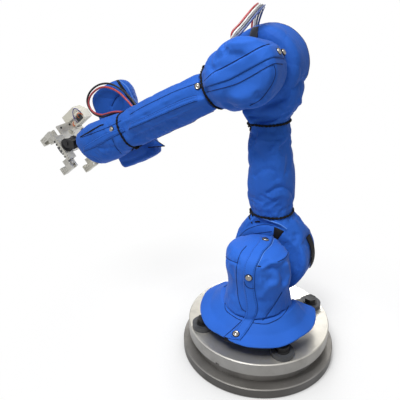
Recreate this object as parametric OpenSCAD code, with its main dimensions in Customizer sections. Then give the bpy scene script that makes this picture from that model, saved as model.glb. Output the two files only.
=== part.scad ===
// Jacketed six-axis industrial robot arm on a round steel pedestal, with a twin gripper.
// Millimetres. +X is forward towards the tool, +Y is the robot's left, +Z is up.
// The origin is the middle of the pedestal's underside.

/* [Pedestal] */
// Radius of the bottom flange
flange_r = 220; // [180:1:260]
// Thickness of the bottom flange
flange_h = 30; // [20:1:45]
// Radius of the recessed neck
neck_r = 188; // [150:1:210]
// Height of the recessed neck
neck_h = 30; // [20:1:50]
// Radius of the top plate
plate_r = 203; // [180:1:230]
// Thickness of the top plate
plate_h = 40; // [25:1:60]
// Chamfer on the machined edges
edge_chamfer = 2.5; // [1:0.5:5]
// Width of the pry slot in the plate's lower edge
pry_slot_w = 12; // [6:1:20]
// Height of the pry slot
pry_slot_h = 8; // [4:1:14]
// Depth of the pry slot
pry_slot_d = 10; // [5:1:20]
// Direction of the pry slot, from +X
pry_slot_a = 81; // [0:1:180]

/* [Base] */
// Radius of the circle of the foot bolts
bolt_circle_r = 168; // [140:1:180]
// Radius of each foot lug
lug_r = 31; // [22:1:36]
// Thickness of the feet
foot_h = 14; // [10:1:25]
// Width of the web from the boss to each foot
web_w = 44; // [30:1:60]
// Radius of the base boss
boss_r = 95; // [80:1:110]
// Top of the base boss
boss_top = 150; // [140:1:160]
// Washer radius
washer_r = 20; // [15:0.5:26]
// Washer thickness
washer_h = 3; // [2:0.5:5]
// Bolt head width across corners
bolt_head_d = 34.6; // [24:0.2:40]
// Bolt head height
bolt_head_h = 12.5; // [8:0.5:16]

/* [Turret] */
// Radius of the turret column
column_r = 84; // [70:1:92]
// Radius of the turret's bearing spigot
spigot_r = 40; // [25:1:60]
// Length of the spigot below the column
spigot_len = 40; // [20:1:45]
// Centre of the turret cover along X
cover_x = -5; // [-20:1:20]
// Centre of the turret cover along Y
cover_y = 45; // [20:1:60]
// Underside of the turret cover
cover_z0 = 186; // [170:1:200]
// Bottom radius of the turret cover
cover_r0 = 88; // [78:1:100]
// Waist radius of the turret cover
cover_r1 = 80; // [70:1:95]
// Height of the waist
cover_waist_z = 240; // [220:1:270]
// Radius at the shoulder of the turret cover
cover_r2 = 88; // [78:1:100]
// Height of the shoulder of the turret cover
cover_z2 = 322; // [300:1:340]
// Top of the turret cover
cover_top = 358; // [345:1:375]
// Flat back of the turret cover
cover_back_y = -39; // [-42:1:-25]
// Radius of the skirt rim
skirt_r = 165; // [140:1:175]
// Inner radius of the skirt, under the turret cover
skirt_in_r = 86; // [80:1:92]
// Centre of the skirt rim along Y
skirt_y = 20; // [0:1:45]
// Lower edge of the skirt rim
skirt_z = 139; // [136:0.5:150]
// Cloth thickness of the skirt
skirt_t = 5; // [3:0.5:8]
// Far edge of the skirt, cut straight under the shoulder
skirt_far_y = -80; // [-110:1:-60]

/* [Lower arm] */
// Height of the shoulder axis
shoulder_z = 272; // [260:1:285]
// Middle plane of the lower arm along Y
arm_y = -100; // [-110:1:-95]
// Length from the shoulder axis to the elbow axis
arm_len = 540; // [500:1:580]
// Forward lean of the lower arm
arm_lean = 5; // [0:0.5:15]
// Radius of the shoulder cover
drum_r = 115; // [100:1:120]
// Half width of the shoulder cover
drum_half = 55; // [45:1:58]
// Rounding of the shoulder cover's edges
drum_round = 16; // [8:1:25]
// Radius of the shoulder shaft
shaft_r = 40; // [25:1:50]
// Length of the shoulder shaft inside the arm
shaft_in = 80; // [50:1:95]
// Distance of the lower tie from the shoulder axis
low_tie_at = 130; // [120:1:150]
// Sleeve radius at the lower tie
low_tie_r = 59; // [50:1:65]
// Sleeve radius at the middle
sleeve_mid_r = 66; // [55:1:70]
// Distance of the upper tie below the elbow axis
up_tie_below = 151; // [140:1:165]
// Sleeve radius at the upper tie
up_tie_r = 52; // [45:1:60]
// Radius of a tie cord
tie_r = 3.6; // [2:0.1:6]
// Depth of each tie in its groove
tie_sink = 2; // [1:0.1:3]
// Radius of the elbow's rear cover
rear_r = 98; // [90:1:110]
// Half width of the elbow's rear cover
rear_half = 55; // [45:1:58]
// Rounding of the elbow's rear cover
rear_round = 26; // [10:1:35]
// Near side of the neck below the elbow's rear cover, from the arm's middle plane
neck_near = 44; // [40:1:50]
// Radius of the elbow shaft
elbow_shaft_r = 34; // [20:1:45]
// Length of the elbow shaft inside the upper arm
elbow_shaft_in = 70; // [40:1:85]
// Reach of the black gusset above the level of the shoulder axis, as an angle
gusset_up_a = 35; // [20:1:36]
// Reach of the gusset below that level
gusset_low_a = 14; // [5:1:30]
// Thickness of the gusset
gusset_t = 2.5; // [1.5:0.5:4]
// Width of the gusset
gusset_w = 26; // [15:1:40]

/* [Upper arm] */
// Radius of the elbow's front cover
front_r = 82; // [70:1:90]
// Near face of the elbow's front cover
front_y1 = 72; // [60:1:85]
// Rounding of the elbow's front cover
front_round = 22; // [10:1:30]
// Gap between the two elbow covers
elbow_gap = 6; // [5:0.5:10]
// Clearance round the rear cover beside the forearm root
root_clear = 7; // [5:0.5:12]
// Root radius where it leaves the elbow
root_r0 = 78; // [65:1:85]
// Distance of that radius from the elbow axis
root_s0 = 60; // [40:1:80]
// Distance of the roll joint from the elbow axis
roll_at = 120; // [110:1:130]
// Sleeve radius at the roll joint
roll_r = 56; // [50:1:60]
// Far side of the root at the roll joint, flattened to pass the lower arm
root_far_y = -43; // [-48:1:-40]
// Radius of the roll spindle
spindle_r = 26; // [15:1:35]
// Length of the spindle inside the elbow
spindle_in = 50; // [30:1:70]

/* [Forearm] */
// Downward pitch of the forearm
fore_pitch = 28.3; // [15:0.1:40]
// Distance of the wrist tie from the elbow axis
wrist_tie_at = 419; // [400:1:440]
// Sleeve radius at the wrist tie
wrist_tie_r = 52; // [45:1:58]
// Half width of the boxy forearm sleeve
box_half = 51; // [46:1:55]
// Radius of the wrist cover at its fullest
boot_r = 61; // [54:1:68]
// Distance of the fullest place from the elbow axis
boot_at = 520; // [480:1:560]
// Distance of the wrist cover's mouth
mouth_at = 633; // [600:1:660]
// Radius of the mouth
mouth_r = 42; // [38:1:48]
// Depth of the opening in the mouth
mouth_depth = 34; // [15:1:50]
// Cloth thickness at the mouth
mouth_t = 5; // [3:0.5:8]
// Distance of the mouth's slanted edge behind the bend axis
mouth_back = 45; // [40:0.5:48]
// Radius of the wrist drive cover
drive_r = 70; // [55:1:80]
// Distance of the wrist drive cover from the elbow axis
drive_at = 517; // [490:1:540]
// Near face of the wrist drive cover
drive_y1 = -61.3; // [-75:0.1:-58]
// Far face of the wrist drive cover
drive_y0 = -140; // [-160:1:-110]
// Top of the wrist drive cover above the forearm axis
drive_top = 150; // [120:1:170]
// Bottom of the wrist drive cover below the forearm axis
drive_low = 100; // [80:1:120]
// Rounding of the wrist drive cover's top
drive_round = 40; // [15:1:50]

/* [Wrist and tool] */
// Distance of the wrist bend axis from the elbow axis, along the forearm
bend_at = 669.3; // [660:0.1:690]
// Height of the wrist bend axis above the forearm's axis
bend_rise = 46.5; // [30:0.5:55]
// Stem radius
stem_r = 10; // [8:0.5:12]
// Clevis half width
clevis_half = 20; // [14:0.5:28]
// Clevis ear thickness
ear_t = 8; // [5:0.5:10]
// Clevis ear radius
ear_r = 15; // [13:0.5:16]
// Radius of the bend pin
pin_r = 7; // [4:0.5:10]
// Downward pitch of the tool axis
tool_pitch = 39; // [20:0.5:55]
// Radius of the neck between knuckle and tool flange
tool_neck_r = 10; // [7:0.5:11]
// Radius of the spigot in the tool flange
tool_spigot_r = 6; // [4:0.5:9]
// Knuckle radius
knuckle_r = 13; // [12:0.5:15]
// Distance from the bend axis to the tool flange
flange_at = 18; // [17:0.5:40]
// Radius of the tool flange
tool_flange_r = 22; // [16:0.5:32]
// Thickness of the tool flange
tool_flange_h = 5; // [4:0.5:14]
// Thickness of the cross bracket
bracket_t = 6; // [5:0.5:12]
// Upper end of the cross bracket, above the tool axis
bracket_up = 70; // [60:1:80]
// Lower end of the cross bracket, below the tool axis
bracket_down = 25; // [15:1:40]
// Far end of the cross bracket
bracket_far = -109; // [-120:1:-100]
// Middle of the front gripper below the tool axis
front_shift = 2; // [-10:1:20]
// Middle of the rear gripper below the tool axis
rear_shift = 14; // [0:1:30]
// Upper face of the rear gripper's actuator, above the tool axis
actuator_up = 98; // [90:1:100]
// Lower face of the rear gripper's actuator, above the tool axis
actuator_down = 44; // [42:1:55]
// Length of the rear gripper's actuator behind the cross bracket
actuator_len = 63; // [40:1:64]
// Height of the sloping corner at the actuator's rear end
actuator_slope_h = 27; // [24:1:40]
// Length of the sloping corner at the actuator's rear end
actuator_slope_len = 22; // [20:1:40]
// Radius of the rod on the rear gripper's actuator
rod_r = 6; // [4:0.5:8]
// Length of the front gripper body
front_body_len = 84; // [60:1:100]
// Width of the front gripper body
front_body_w = 30; // [20:1:40]
// Depth of the front gripper body
front_body_d = 14; // [12:1:36]
// Length of the rear gripper body
rear_body_len = 104; // [70:1:120]
// Width of the rear gripper body
rear_body_w = 34; // [20:1:40]
// Depth of the rear gripper body
rear_body_d = 20; // [12:1:40]
// Middle of the rear gripper along Y
rear_grip_y = -92; // [-105:1:-80]
// Middle of the front gripper along Y
front_grip_y = 8; // [0:1:15]
// Gap of a jaw on its slide
jaw_gap = 0.3; // [0.2:0.05:0.5]
// Reach of a jaw past the end of the body
jaw_reach = 26; // [15:1:40]
// Thickness of a jaw along the slide
jaw_t = 16; // [8:1:18]
// Length of a finger
finger_len = 34; // [24:1:80]
// Stroke of each jaw
jaw_stroke = 12; // [6:1:15]
// Rail width
rail_w = 10; // [8:1:14]
// Rail depth
rail_d = 6; // [4:1:8]
// Rail length past each end of the body
rail_over = 14; // [5:1:20]
// Length of a jaw's carriage
carriage_len = 36; // [20:1:40]
// Depth of a jaw's carriage
carriage_d = 24; // [14:1:28]
// Width of a finger
finger_w = 20; // [10:1:24]
// Thickness of a finger's tip
tip_t = 10; // [6:1:16]
// Length of a finger's tip past the finger
tip_len = 8; // [4:1:16]
// Number of ribs on a gripper body
rib_count = 7; // [4:1:10]
// Number of grooves on each side of a jaw
groove_count = 4; // [2:1:5]
// Width of a groove
groove_w = 2.5; // [1.5:0.5:4]
// Depth of a groove
groove_d = 1.5; // [1:0.5:2.5]
// Thickness of a rib
rib_t = 5; // [3:0.5:8]
// Height of a rib
rib_h = 2; // [1:0.5:4]

/* [Hoses] */
// Radius of the hoses over the elbow
elbow_hose_r = 2.6; // [2:0.1:3]
// Sideways step between the hoses over the elbow
elbow_hose_step = 7.6; // [7.5:0.1:9]
// Radius of the hoses over the wrist
wrist_hose_r = 3; // [2:0.1:4]

/* [Clearances] */
// Radial clearance of shafts and pins
pin_clear = 0.3; // [0.2:0.05:0.6]
// Gap between bearing faces
face_gap = 0.5; // [0.3:0.1:1]

/* [Hidden] */
$fn = 64;
plate_top = flange_h + neck_h + plate_h;
elbow_x = arm_len * sin(arm_lean);
elbow_z = shoulder_z + arm_len * cos(arm_lean);
arm_y1 = arm_y + drum_half;
rear_y1 = arm_y + rear_half;
front_y0 = rear_y1 + elbow_gap;
up_tie_at = arm_len - up_tie_below;
bend_x = elbow_x + bend_at * cos(fore_pitch) + bend_rise * sin(fore_pitch);
bend_z = elbow_z - bend_at * sin(fore_pitch) + bend_rise * cos(fore_pitch);
bracket_at = flange_at + tool_flange_h;

jacket = [0.08, 0.25, 0.66];
steel = [0.74, 0.75, 0.76];
dark = [0.12, 0.12, 0.13];
alloy = [0.82, 0.83, 0.84];
ivory = [0.90, 0.89, 0.84];

// Points along an arc, for turned profiles
function arc_points(cx, cy, r, a0, a1, n) =
    [for (i = [0:n]) [cx + r * cos(a0 + (a1 - a0) * i / n), cy + r * sin(a0 + (a1 - a0) * i / n)]];

// Turned profile of a drum with rounded edges
function drum_profile(r, h0, h1, e) = concat(
    [[0, h0]],
    arc_points(r - e, h0 + e, e, -90, 0, 5),
    arc_points(r - e, h1 - e, e, 0, 90, 5),
    [[0, h1]]);

// Cylinder along Y
module y_cyl(r, y0, y1) {
    translate([0, y0, 0]) rotate([-90, 0, 0]) cylinder(r = r, h = y1 - y0);
}

// Turned shape about Y
module y_turn(points) {
    rotate([-90, 0, 0]) rotate_extrude() polygon(points);
}

// Frame on the shoulder axis, +Z along the lower arm
module arm_frame() {
    translate([0, arm_y, shoulder_z]) rotate([0, arm_lean, 0]) children();
}

// Frame on the elbow axis, +Z along the forearm and -X up
module fore_frame() {
    translate([elbow_x, 0, elbow_z]) rotate([0, 90 + fore_pitch, 0]) children();
}

// Frame on the bend axis, +Z along the tool axis and -X up
module tool_frame() {
    translate([bend_x, 0, bend_z]) rotate([0, 90 + tool_pitch, 0]) children();
}

// Ring of cord about Z
module tie_ring(r) {
    rotate_extrude() translate([r + tie_r - tie_sink, 0]) circle(r = tie_r, $fn = 24);
}

// Room for a tie cord
module tie_room(r) {
    rotate_extrude() translate([r + tie_r - tie_sink, 0]) circle(r = tie_r + 0.15, $fn = 24);
}

// Disc with both edges chamfered
module machined_disc(r, z0, h) {
    rotate_extrude($fn = 96) polygon([[0, z0], [r - edge_chamfer, z0], [r, z0 + edge_chamfer],
        [r, z0 + h - edge_chamfer], [r - edge_chamfer, z0 + h], [0, z0 + h]]);
}

module pedestal_flange() {
    color(steel) machined_disc(flange_r, 0, flange_h);
}

module pedestal_neck() {
    color(dark) translate([0, 0, flange_h]) cylinder(r = neck_r, h = neck_h, $fn = 96);
}

module pedestal_plate() {
    color(steel) difference() {
        machined_disc(plate_r, flange_h + neck_h, plate_h);
        rotate([0, 0, pry_slot_a])
            translate([plate_r - pry_slot_d, -pry_slot_w / 2, flange_h + neck_h - 1])
                cube([pry_slot_d + 5, pry_slot_w, pry_slot_h + 1]);
    }
}

module robot_base() {
    color(dark) difference() {
        union() {
            translate([0, 0, plate_top]) cylinder(r = boss_r, h = boss_top - plate_top);
            for (a = [45:90:315])
                rotate([0, 0, a]) {
                    translate([0, -web_w / 2, plate_top]) cube([bolt_circle_r, web_w, foot_h]);
                    translate([bolt_circle_r, 0, plate_top]) cylinder(r = lug_r, h = foot_h);
                }
        }
        translate([0, 0, boss_top - spigot_len - face_gap])
            cylinder(r = spigot_r + pin_clear, h = spigot_len + 10);
    }
}

module foot_bolts() {
    color(dark) for (a = [45:90:315])
        rotate([0, 0, a]) translate([bolt_circle_r, 0, plate_top + foot_h]) {
            cylinder(r = washer_r, h = washer_h);
            translate([0, 0, washer_h]) cylinder(d = bolt_head_d, h = bolt_head_h, $fn = 6);
        }
}

module turret_column() {
    color(dark) union() {
        translate([0, 0, boss_top + face_gap - spigot_len]) cylinder(r = spigot_r, h = spigot_len + 1);
        difference() {
            translate([0, 0, boss_top + face_gap]) cylinder(r = column_r, h = cover_z0 - boss_top - face_gap);
            shoulder_room(elbow_gap);
        }
    }
}

// Room that the shoulder cover keeps beside the turret
module shoulder_room(gap) {
    translate([0, 0, shoulder_z]) y_cyl(drum_r + gap, arm_y - drum_half - 40, arm_y1 + gap);
}

module base_skirt() {
    color(jacket) difference() {
        translate([cover_x, skirt_y, 0]) rotate_extrude($fn = 96) polygon([
            [skirt_in_r, cover_z0 - 0.3 - skirt_t], [skirt_in_r, cover_z0 - 0.3],
            [skirt_in_r + 20, cover_z0 - 0.3], [skirt_r - 30, skirt_z + skirt_t + 12], [skirt_r, skirt_z + skirt_t], [skirt_r, skirt_z],
            [skirt_r - 30, skirt_z + 12], [skirt_in_r + 18, cover_z0 - 0.3 - skirt_t]]);
        translate([0, 0, 100]) cylinder(r = column_r + pin_clear, h = 150);
        translate([-300, -400, 0]) cube([600, 400 + skirt_far_y, 400]);
        shoulder_room(elbow_gap);
    }
}

module turret_cover() {
    color(jacket) difference() {
        translate([cover_x, cover_y, 0]) rotate_extrude($fn = 96) polygon(concat(
            [[0, cover_z0], [cover_r0, cover_z0], [cover_r1 + 2, cover_z0 + 26], [cover_r1, cover_waist_z],
             [cover_r1 + 3, cover_waist_z + 40], [cover_r2, cover_z2]],
            arc_points(cover_r2 - 30, cover_top - 34, 30, 10, 80, 6),
            [[0, cover_top]]));
        translate([-200, cover_back_y - 200, 100]) cube([400, 200, 400]);
    }
}

module shoulder_shaft() {
    color(steel) translate([0, 0, shoulder_z]) y_cyl(shaft_r, arm_y1 - shaft_in, cover_back_y);
}

module shoulder_cover() {
    color(jacket) difference() {
        union() {
            translate([0, arm_y, shoulder_z])
                y_turn(drum_profile(drum_r, -drum_half, drum_half, drum_round));
            arm_frame() intersection() {
                rotate_extrude() polygon([[0, 20], [98, 20], [98, 58], [89, 82], [76, 102], [66, 116],
                    [low_tie_r, low_tie_at], [0, low_tie_at]]);
                translate([-150, 2 - drum_half, 0]) cube([300, 2 * drum_half - 4, 200]);
            }
        }
        translate([0, 0, shoulder_z])
            y_cyl(shaft_r + pin_clear, arm_y1 - shaft_in - face_gap, arm_y1 + 20);
        arm_frame() translate([0, 0, low_tie_at]) tie_room(low_tie_r);
    }
}

module shoulder_gusset() {
    color(dark) translate([0, arm_y - 10, shoulder_z]) intersection() {
        rotate([-90, 0, 0]) difference() {
            translate([0, 0, -gusset_w / 2]) cylinder(r = drum_r + gusset_t, h = gusset_w);
            translate([0, 0, -gusset_w]) cylinder(r = drum_r, h = 2 * gusset_w);
        }
        rotate([0, -gusset_low_a, 0]) translate([-200, -50, 0]) cube([200, 100, 200]);
        rotate([0, gusset_up_a, 0]) translate([-200, -50, -200]) cube([200, 100, 200]);
    }
}

module lower_arm_sleeve() {
    len = up_tie_at - low_tie_at;
    color(jacket) arm_frame() difference() {
        rotate_extrude() polygon(concat([[0, low_tie_at], [low_tie_r, low_tie_at]],
            [for (i = [1:11]) let (f = i / 12) [low_tie_r + (up_tie_r - low_tie_r) * f
                + (sleeve_mid_r - (low_tie_r + up_tie_r) / 2) * sin(180 * f), low_tie_at + len * f]],
            [[up_tie_r, up_tie_at], [0, up_tie_at]]));
        translate([0, 0, low_tie_at]) tie_room(low_tie_r);
        translate([0, 0, up_tie_at]) tie_room(up_tie_r);
    }
}

module shoulder_tie() {
    color(dark) arm_frame() translate([0, 0, low_tie_at]) tie_ring(low_tie_r);
}

module elbow_tie() {
    color(dark) arm_frame() translate([0, 0, up_tie_at]) tie_ring(up_tie_r);
}

module elbow_rear_cover() {
    color(jacket) difference() {
        union() {
            translate([elbow_x, arm_y, elbow_z])
                y_turn(drum_profile(rear_r, -rear_half, rear_half, rear_round));
            arm_frame() intersection() {
                rotate_extrude() polygon([[0, up_tie_at], [up_tie_r, up_tie_at], [58, up_tie_at + 12],
                    [68, up_tie_at + 30], [80, up_tie_at + 52], [87, up_tie_at + 78], [87, up_tie_at + 110],
                    [0, up_tie_at + 110]]);
                rotate([90, 0, 90]) translate([0, 0, -150]) linear_extrude(300) polygon([
                    [1 - rear_half, up_tie_at], [up_tie_r + 1, up_tie_at], [up_tie_r + 1, up_tie_at + 4],
                    [neck_near, up_tie_at + 18], [neck_near, up_tie_at + 110],
                    [1 - rear_half, up_tie_at + 110]]);
            }
        }
        arm_frame() translate([0, 0, up_tie_at]) tie_room(up_tie_r);
    }
}

module elbow_shaft() {
    color(steel) translate([elbow_x, 0, elbow_z])
        y_cyl(elbow_shaft_r, rear_y1, front_y0 + elbow_shaft_in);
}

module elbow_front_cover() {
    color(jacket) difference() {
        union() {
            translate([elbow_x, 0, elbow_z])
                y_turn(drum_profile(front_r, front_y0, front_y1, front_round));
            fore_frame() rotate_extrude() polygon([[0, 10], [root_r0 - 4, 10], [root_r0, root_s0],
                [root_r0 - 4, root_s0 + 20], [roll_r + 6, roll_at - 20], [roll_r + 1, roll_at - 10],
                [roll_r - tie_sink - 0.2, roll_at - 9], [roll_r - tie_sink - 0.2, roll_at - 1],
                [roll_r - tie_sink - 0.2, roll_at], [0, roll_at]]);
        }
        translate([elbow_x, 0, elbow_z])
            y_cyl(rear_r + root_clear, front_y0 - 150, front_y0);
        fore_frame() translate([-200, root_far_y - 200, 0]) cube([400, 200, 300]);
        translate([elbow_x, 0, elbow_z])
            y_cyl(elbow_shaft_r + pin_clear, front_y0 - 20, front_y0 + elbow_shaft_in + face_gap);
        fore_frame() translate([0, 0, roll_at - spindle_in - face_gap])
            cylinder(r = spindle_r + pin_clear, h = spindle_in + 20);
    }
}

// Tie round the flattened root, straight across its far side
module forearm_tie() {
    ring_r = roll_r + tie_r - tie_sink;
    far_y = root_far_y - tie_r - 0.15;
    far_x = sqrt(ring_r * ring_r - far_y * far_y);
    color(dark) fore_frame() translate([0, 0, roll_at - 5]) {
        intersection() {
            tie_ring(roll_r);
            translate([-100, far_y, -20]) cube([200, 200, 40]);
        }
        translate([-far_x - 1, far_y, 0]) rotate([0, 90, 0]) cylinder(r = tie_r, h = 2 * far_x + 2, $fn = 24);
    }
}

module forearm_spindle() {
    color(steel) fore_frame() translate([0, 0, roll_at - spindle_in])
        cylinder(r = spindle_r, h = spindle_in + face_gap);
}

module forearm_sleeve() {
    color(jacket) fore_frame() difference() {
        intersection() {
            translate([0, 0, roll_at + face_gap])
                cylinder(r1 = roll_r, r2 = wrist_tie_r + 5, h = wrist_tie_at - roll_at - face_gap);
            translate([-box_half, -box_half, 0]) cube([2 * box_half, 2 * box_half, 600]);
        }
        translate([0, 0, wrist_tie_at]) tie_room(wrist_tie_r);
    }
}

module wrist_tie() {
    color(dark) fore_frame() translate([0, 0, wrist_tie_at]) tie_ring(wrist_tie_r);
}

module wrist_cover() {
    color(jacket) difference() {
        fore_frame() rotate_extrude() polygon([[0, wrist_tie_at], [wrist_tie_r, wrist_tie_at],
            [wrist_tie_r + 3, wrist_tie_at + 20], [boot_r - 2, boot_at - 40], [boot_r, boot_at],
            [boot_r - 2, boot_at + 40], [boot_r - 8, boot_at + 75], [mouth_r + 4, mouth_at - 14],
            [mouth_r, mouth_at], [mouth_r - mouth_t, mouth_at], [mouth_r - mouth_t, mouth_at - mouth_depth],
            [0, mouth_at - mouth_depth]]);
        fore_frame() translate([0, 0, wrist_tie_at]) tie_room(wrist_tie_r);
        tool_frame() translate([-200, -200, -mouth_back]) cube(400);
    }
}

module wrist_drive_cover() {
    color(jacket) fore_frame() intersection() {
        translate([0, (drive_y0 + drive_y1) / 2, drive_at]) rotate([0, -90, 0]) rotate_extrude()
            polygon(concat([[0, -drive_low], [drive_r - 6, -drive_low], [drive_r, -drive_low + 12]],
                arc_points(drive_r - drive_round, drive_top - drive_round, drive_round, 0, 90, 7),
                [[0, drive_top]]));
        translate([-300, drive_y0, 300]) cube([600, drive_y1 - drive_y0, 400]);
    }
}

// Keeps what lies in front of the floor of the mouth
module past_mouth_floor() {
    intersection() {
        children();
        fore_frame() translate([-200, -200, mouth_at - mouth_depth]) cube([400, 400, 300]);
    }
}

module wrist_stem() {
    color(dark) past_mouth_floor() translate([bend_x, 0, bend_z]) difference() {
        union() {
            translate([-140, 0, 0]) rotate([0, 90, 0]) cylinder(r = stem_r, h = 140 - ear_r - 3);
            translate([-ear_r - 15, -clevis_half, -ear_r + 2]) cube([12, 2 * clevis_half, 2 * ear_r - 4]);
            for (y = [-clevis_half, clevis_half - ear_t]) {
                translate([-ear_r - 4, y, -ear_r + 2]) cube([ear_r + 4, ear_t, 2 * ear_r - 4]);
                y_cyl(ear_r, y, y + ear_t);
            }
        }
        y_cyl(pin_r + pin_clear, -clevis_half - 5, clevis_half + 5);
    }
}

module wrist_knuckle() {
    color(dark) tool_frame() union() {
        y_cyl(knuckle_r, -clevis_half + ear_t + face_gap, clevis_half - ear_t - face_gap);
        y_cyl(pin_r, -clevis_half - 3, clevis_half + 3);
        cylinder(r = tool_neck_r, h = flange_at - face_gap);
        cylinder(r = tool_spigot_r, h = flange_at + tool_flange_h - 1);
    }
}

module tool_flange() {
    color(dark) tool_frame() translate([0, 0, flange_at]) difference() {
        cylinder(r = tool_flange_r, h = tool_flange_h);
        translate([0, 0, -1]) cylinder(r = tool_spigot_r + pin_clear, h = tool_flange_h + face_gap);
    }
}

// Plate from the far side of the front gripper to the rear gripper
module cross_bracket() {
    near = front_grip_y - front_body_w / 2 - rib_h - 0.2;
    color(alloy) tool_frame() difference() {
        translate([-bracket_up, bracket_far, bracket_at + 0.2])
            cube([bracket_up + bracket_down, near - bracket_far, bracket_t]);
        translate([0, 0, bracket_at - 1]) cylinder(r = tool_flange_r + 1, h = 1.4);
        translate([-bracket_up / 2, (rear_grip_y + near) / 2, bracket_at - 5]) cylinder(r = 11, h = 20);
    }
}

// Gripper body with its slide rail, centred on the bar
module gripper_body(len, w, d) {
    translate([-len / 2, -w / 2, 0]) cube([len, w, d]);
    translate([-len / 2 - rail_over, -rail_w / 2, d - 2]) cube([len + 2 * rail_over, rail_w, rail_d + 2]);
    for (i = [0:rib_count - 1])
        translate([-len / 2 + 4 + i * (len - 8 - rib_t) / (rib_count - 1), -w / 2 - rib_h, 2])
            cube([rib_t, w + 2 * rib_h, d - 4]);
}

// Jaw on the end of the rail, its finger along +Z
module gripper_jaw(len, w, d, finger) {
    x0 = -len / 2 - jaw_reach;
    pitch = (carriage_len - jaw_t - groove_w) / groove_count;
    difference() {
        union() {
            translate([x0, -w / 2, d + jaw_gap]) cube([carriage_len, w, carriage_d]);
            translate([x0, -finger_w / 2, d + jaw_gap]) cube([jaw_t, finger_w, carriage_d + finger]);
            translate([x0, -finger_w / 2, d + jaw_gap + carriage_d + finger - tip_t])
                cube([jaw_t + tip_len, finger_w, tip_t]);
        }
        translate([x0 - 5, -rail_w / 2 - jaw_gap, d - 1])
            cube([carriage_len + 10, rail_w + 2 * jaw_gap, rail_d + 1 + jaw_gap]);
        for (i = [0:groove_count - 1], side = [-1, 1])
            translate([x0 + jaw_t + 2 + i * pitch, side * w / 2 - groove_d, d + jaw_gap + 4])
                cube([groove_w, 2 * groove_d, carriage_d]);
        for (side = [-1, 1], f = [0.3, 0.7])
            translate([x0 + f * jaw_t - groove_w / 2, side * finger_w / 2 - groove_d, d + jaw_gap + carriage_d + 3])
                cube([groove_w, 2 * groove_d, finger - 8]);
    }
}

module front_place() {
    tool_frame() translate([front_shift, front_grip_y, bracket_at]) children();
}

module rear_place() {
    tool_frame() translate([rear_shift, rear_grip_y, bracket_at + bracket_t + 0.2]) children();
}

module front_gripper_body() {
    color(alloy) front_place() gripper_body(front_body_len, front_body_w, front_body_d);
}

module rear_gripper_body() {
    z0 = bracket_at - actuator_len;
    color(ivory) union() {
        rear_place() gripper_body(rear_body_len, rear_body_w, rear_body_d);
        tool_frame() translate([0, rear_grip_y, 0]) {
            translate([0, rear_body_w / 2, 0]) rotate([90, 0, 0]) linear_extrude(rear_body_w)
                polygon([[-actuator_down, z0], [-actuator_down, bracket_at], [-actuator_up, bracket_at],
                    [-actuator_up, z0 + actuator_slope_len], [-actuator_up + actuator_slope_h, z0]]);
            translate([-actuator_up, -rear_body_w / 2, bracket_at - 1])
                cube([actuator_up - bracket_up - 1, rear_body_w, bracket_t + rear_body_d]);
            translate([-actuator_up, -rear_body_w / 2, bracket_at + bracket_t + 0.2])
                cube([actuator_up + rear_shift - rear_body_len / 2 + 1, rear_body_w, rear_body_d - 8]);
            translate([-(actuator_up + actuator_down) / 2, rear_body_w / 2, z0 + 6])
                cylinder(r = rod_r, h = actuator_len - 12);
        }
    }
}

module front_upper_jaw() {
    color(alloy) front_place() gripper_jaw(front_body_len, front_body_w - 4, front_body_d, finger_len);
}

module front_lower_jaw() {
    color(alloy) front_place() rotate([0, 0, 180])
        gripper_jaw(front_body_len, front_body_w - 4, front_body_d, finger_len);
}

module rear_upper_jaw() {
    color(ivory) rear_place() gripper_jaw(rear_body_len, rear_body_w - 4, rear_body_d, finger_len);
}

module rear_lower_jaw() {
    color(ivory) rear_place() rotate([0, 0, 180])
        gripper_jaw(rear_body_len, rear_body_w - 4, rear_body_d, finger_len);
}

// Point on a smooth curve between two of its marks
function curve_point(a, b, c, d, t) = 0.5 * (2 * b + (c - a) * t
    + (2 * a - 5 * b + 4 * c - d) * t * t + (3 * b - a - 3 * c + d) * t * t * t);

// Smooth run of points through the marks
function curve(p, n) = concat(
    [for (i = [0:len(p) - 2], k = [0:n - 1])
        curve_point(p[max(i - 1, 0)], p[i], p[i + 1], p[min(i + 2, len(p) - 1)], k / n)],
    [p[len(p) - 1]]);

function unit(v) = v / norm(v);

// Hose along a run of points that stays roughly in the XZ plane
module hose(p, r) {
    n = len(p);
    rings = [for (i = [0:n - 1]) let (
        t = unit(p[min(i + 1, n - 1)] - p[max(i - 1, 0)]),
        u = unit(cross(t, [0, 1, 0])),
        v = cross(u, t))
        for (k = [0:7]) p[i] + r * (cos(45 * k) * u + sin(45 * k) * v)];
    polyhedron(rings, concat(
        [[for (k = [0:7]) k]],
        [for (i = [0:n - 2], k = [0:7]) [i * 8 + k, (i + 1) * 8 + k, (i + 1) * 8 + (k + 1) % 8]],
        [for (i = [0:n - 2], k = [0:7]) [i * 8 + k, (i + 1) * 8 + (k + 1) % 8, i * 8 + (k + 1) % 8]],
        [[for (k = [7:-1:0]) (n - 1) * 8 + k]]), convexity = 6);
}

// Height of the rear cover's top above a place beside the elbow
function dome_z(x, y) = let (
    d = y - arm_y + rear_half,
    r = d < rear_round ? rear_r - rear_round + sqrt(rear_round * rear_round - pow(rear_round - d, 2)) : rear_r)
    elbow_z + sqrt(r * r - pow(x - elbow_x, 2));

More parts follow.
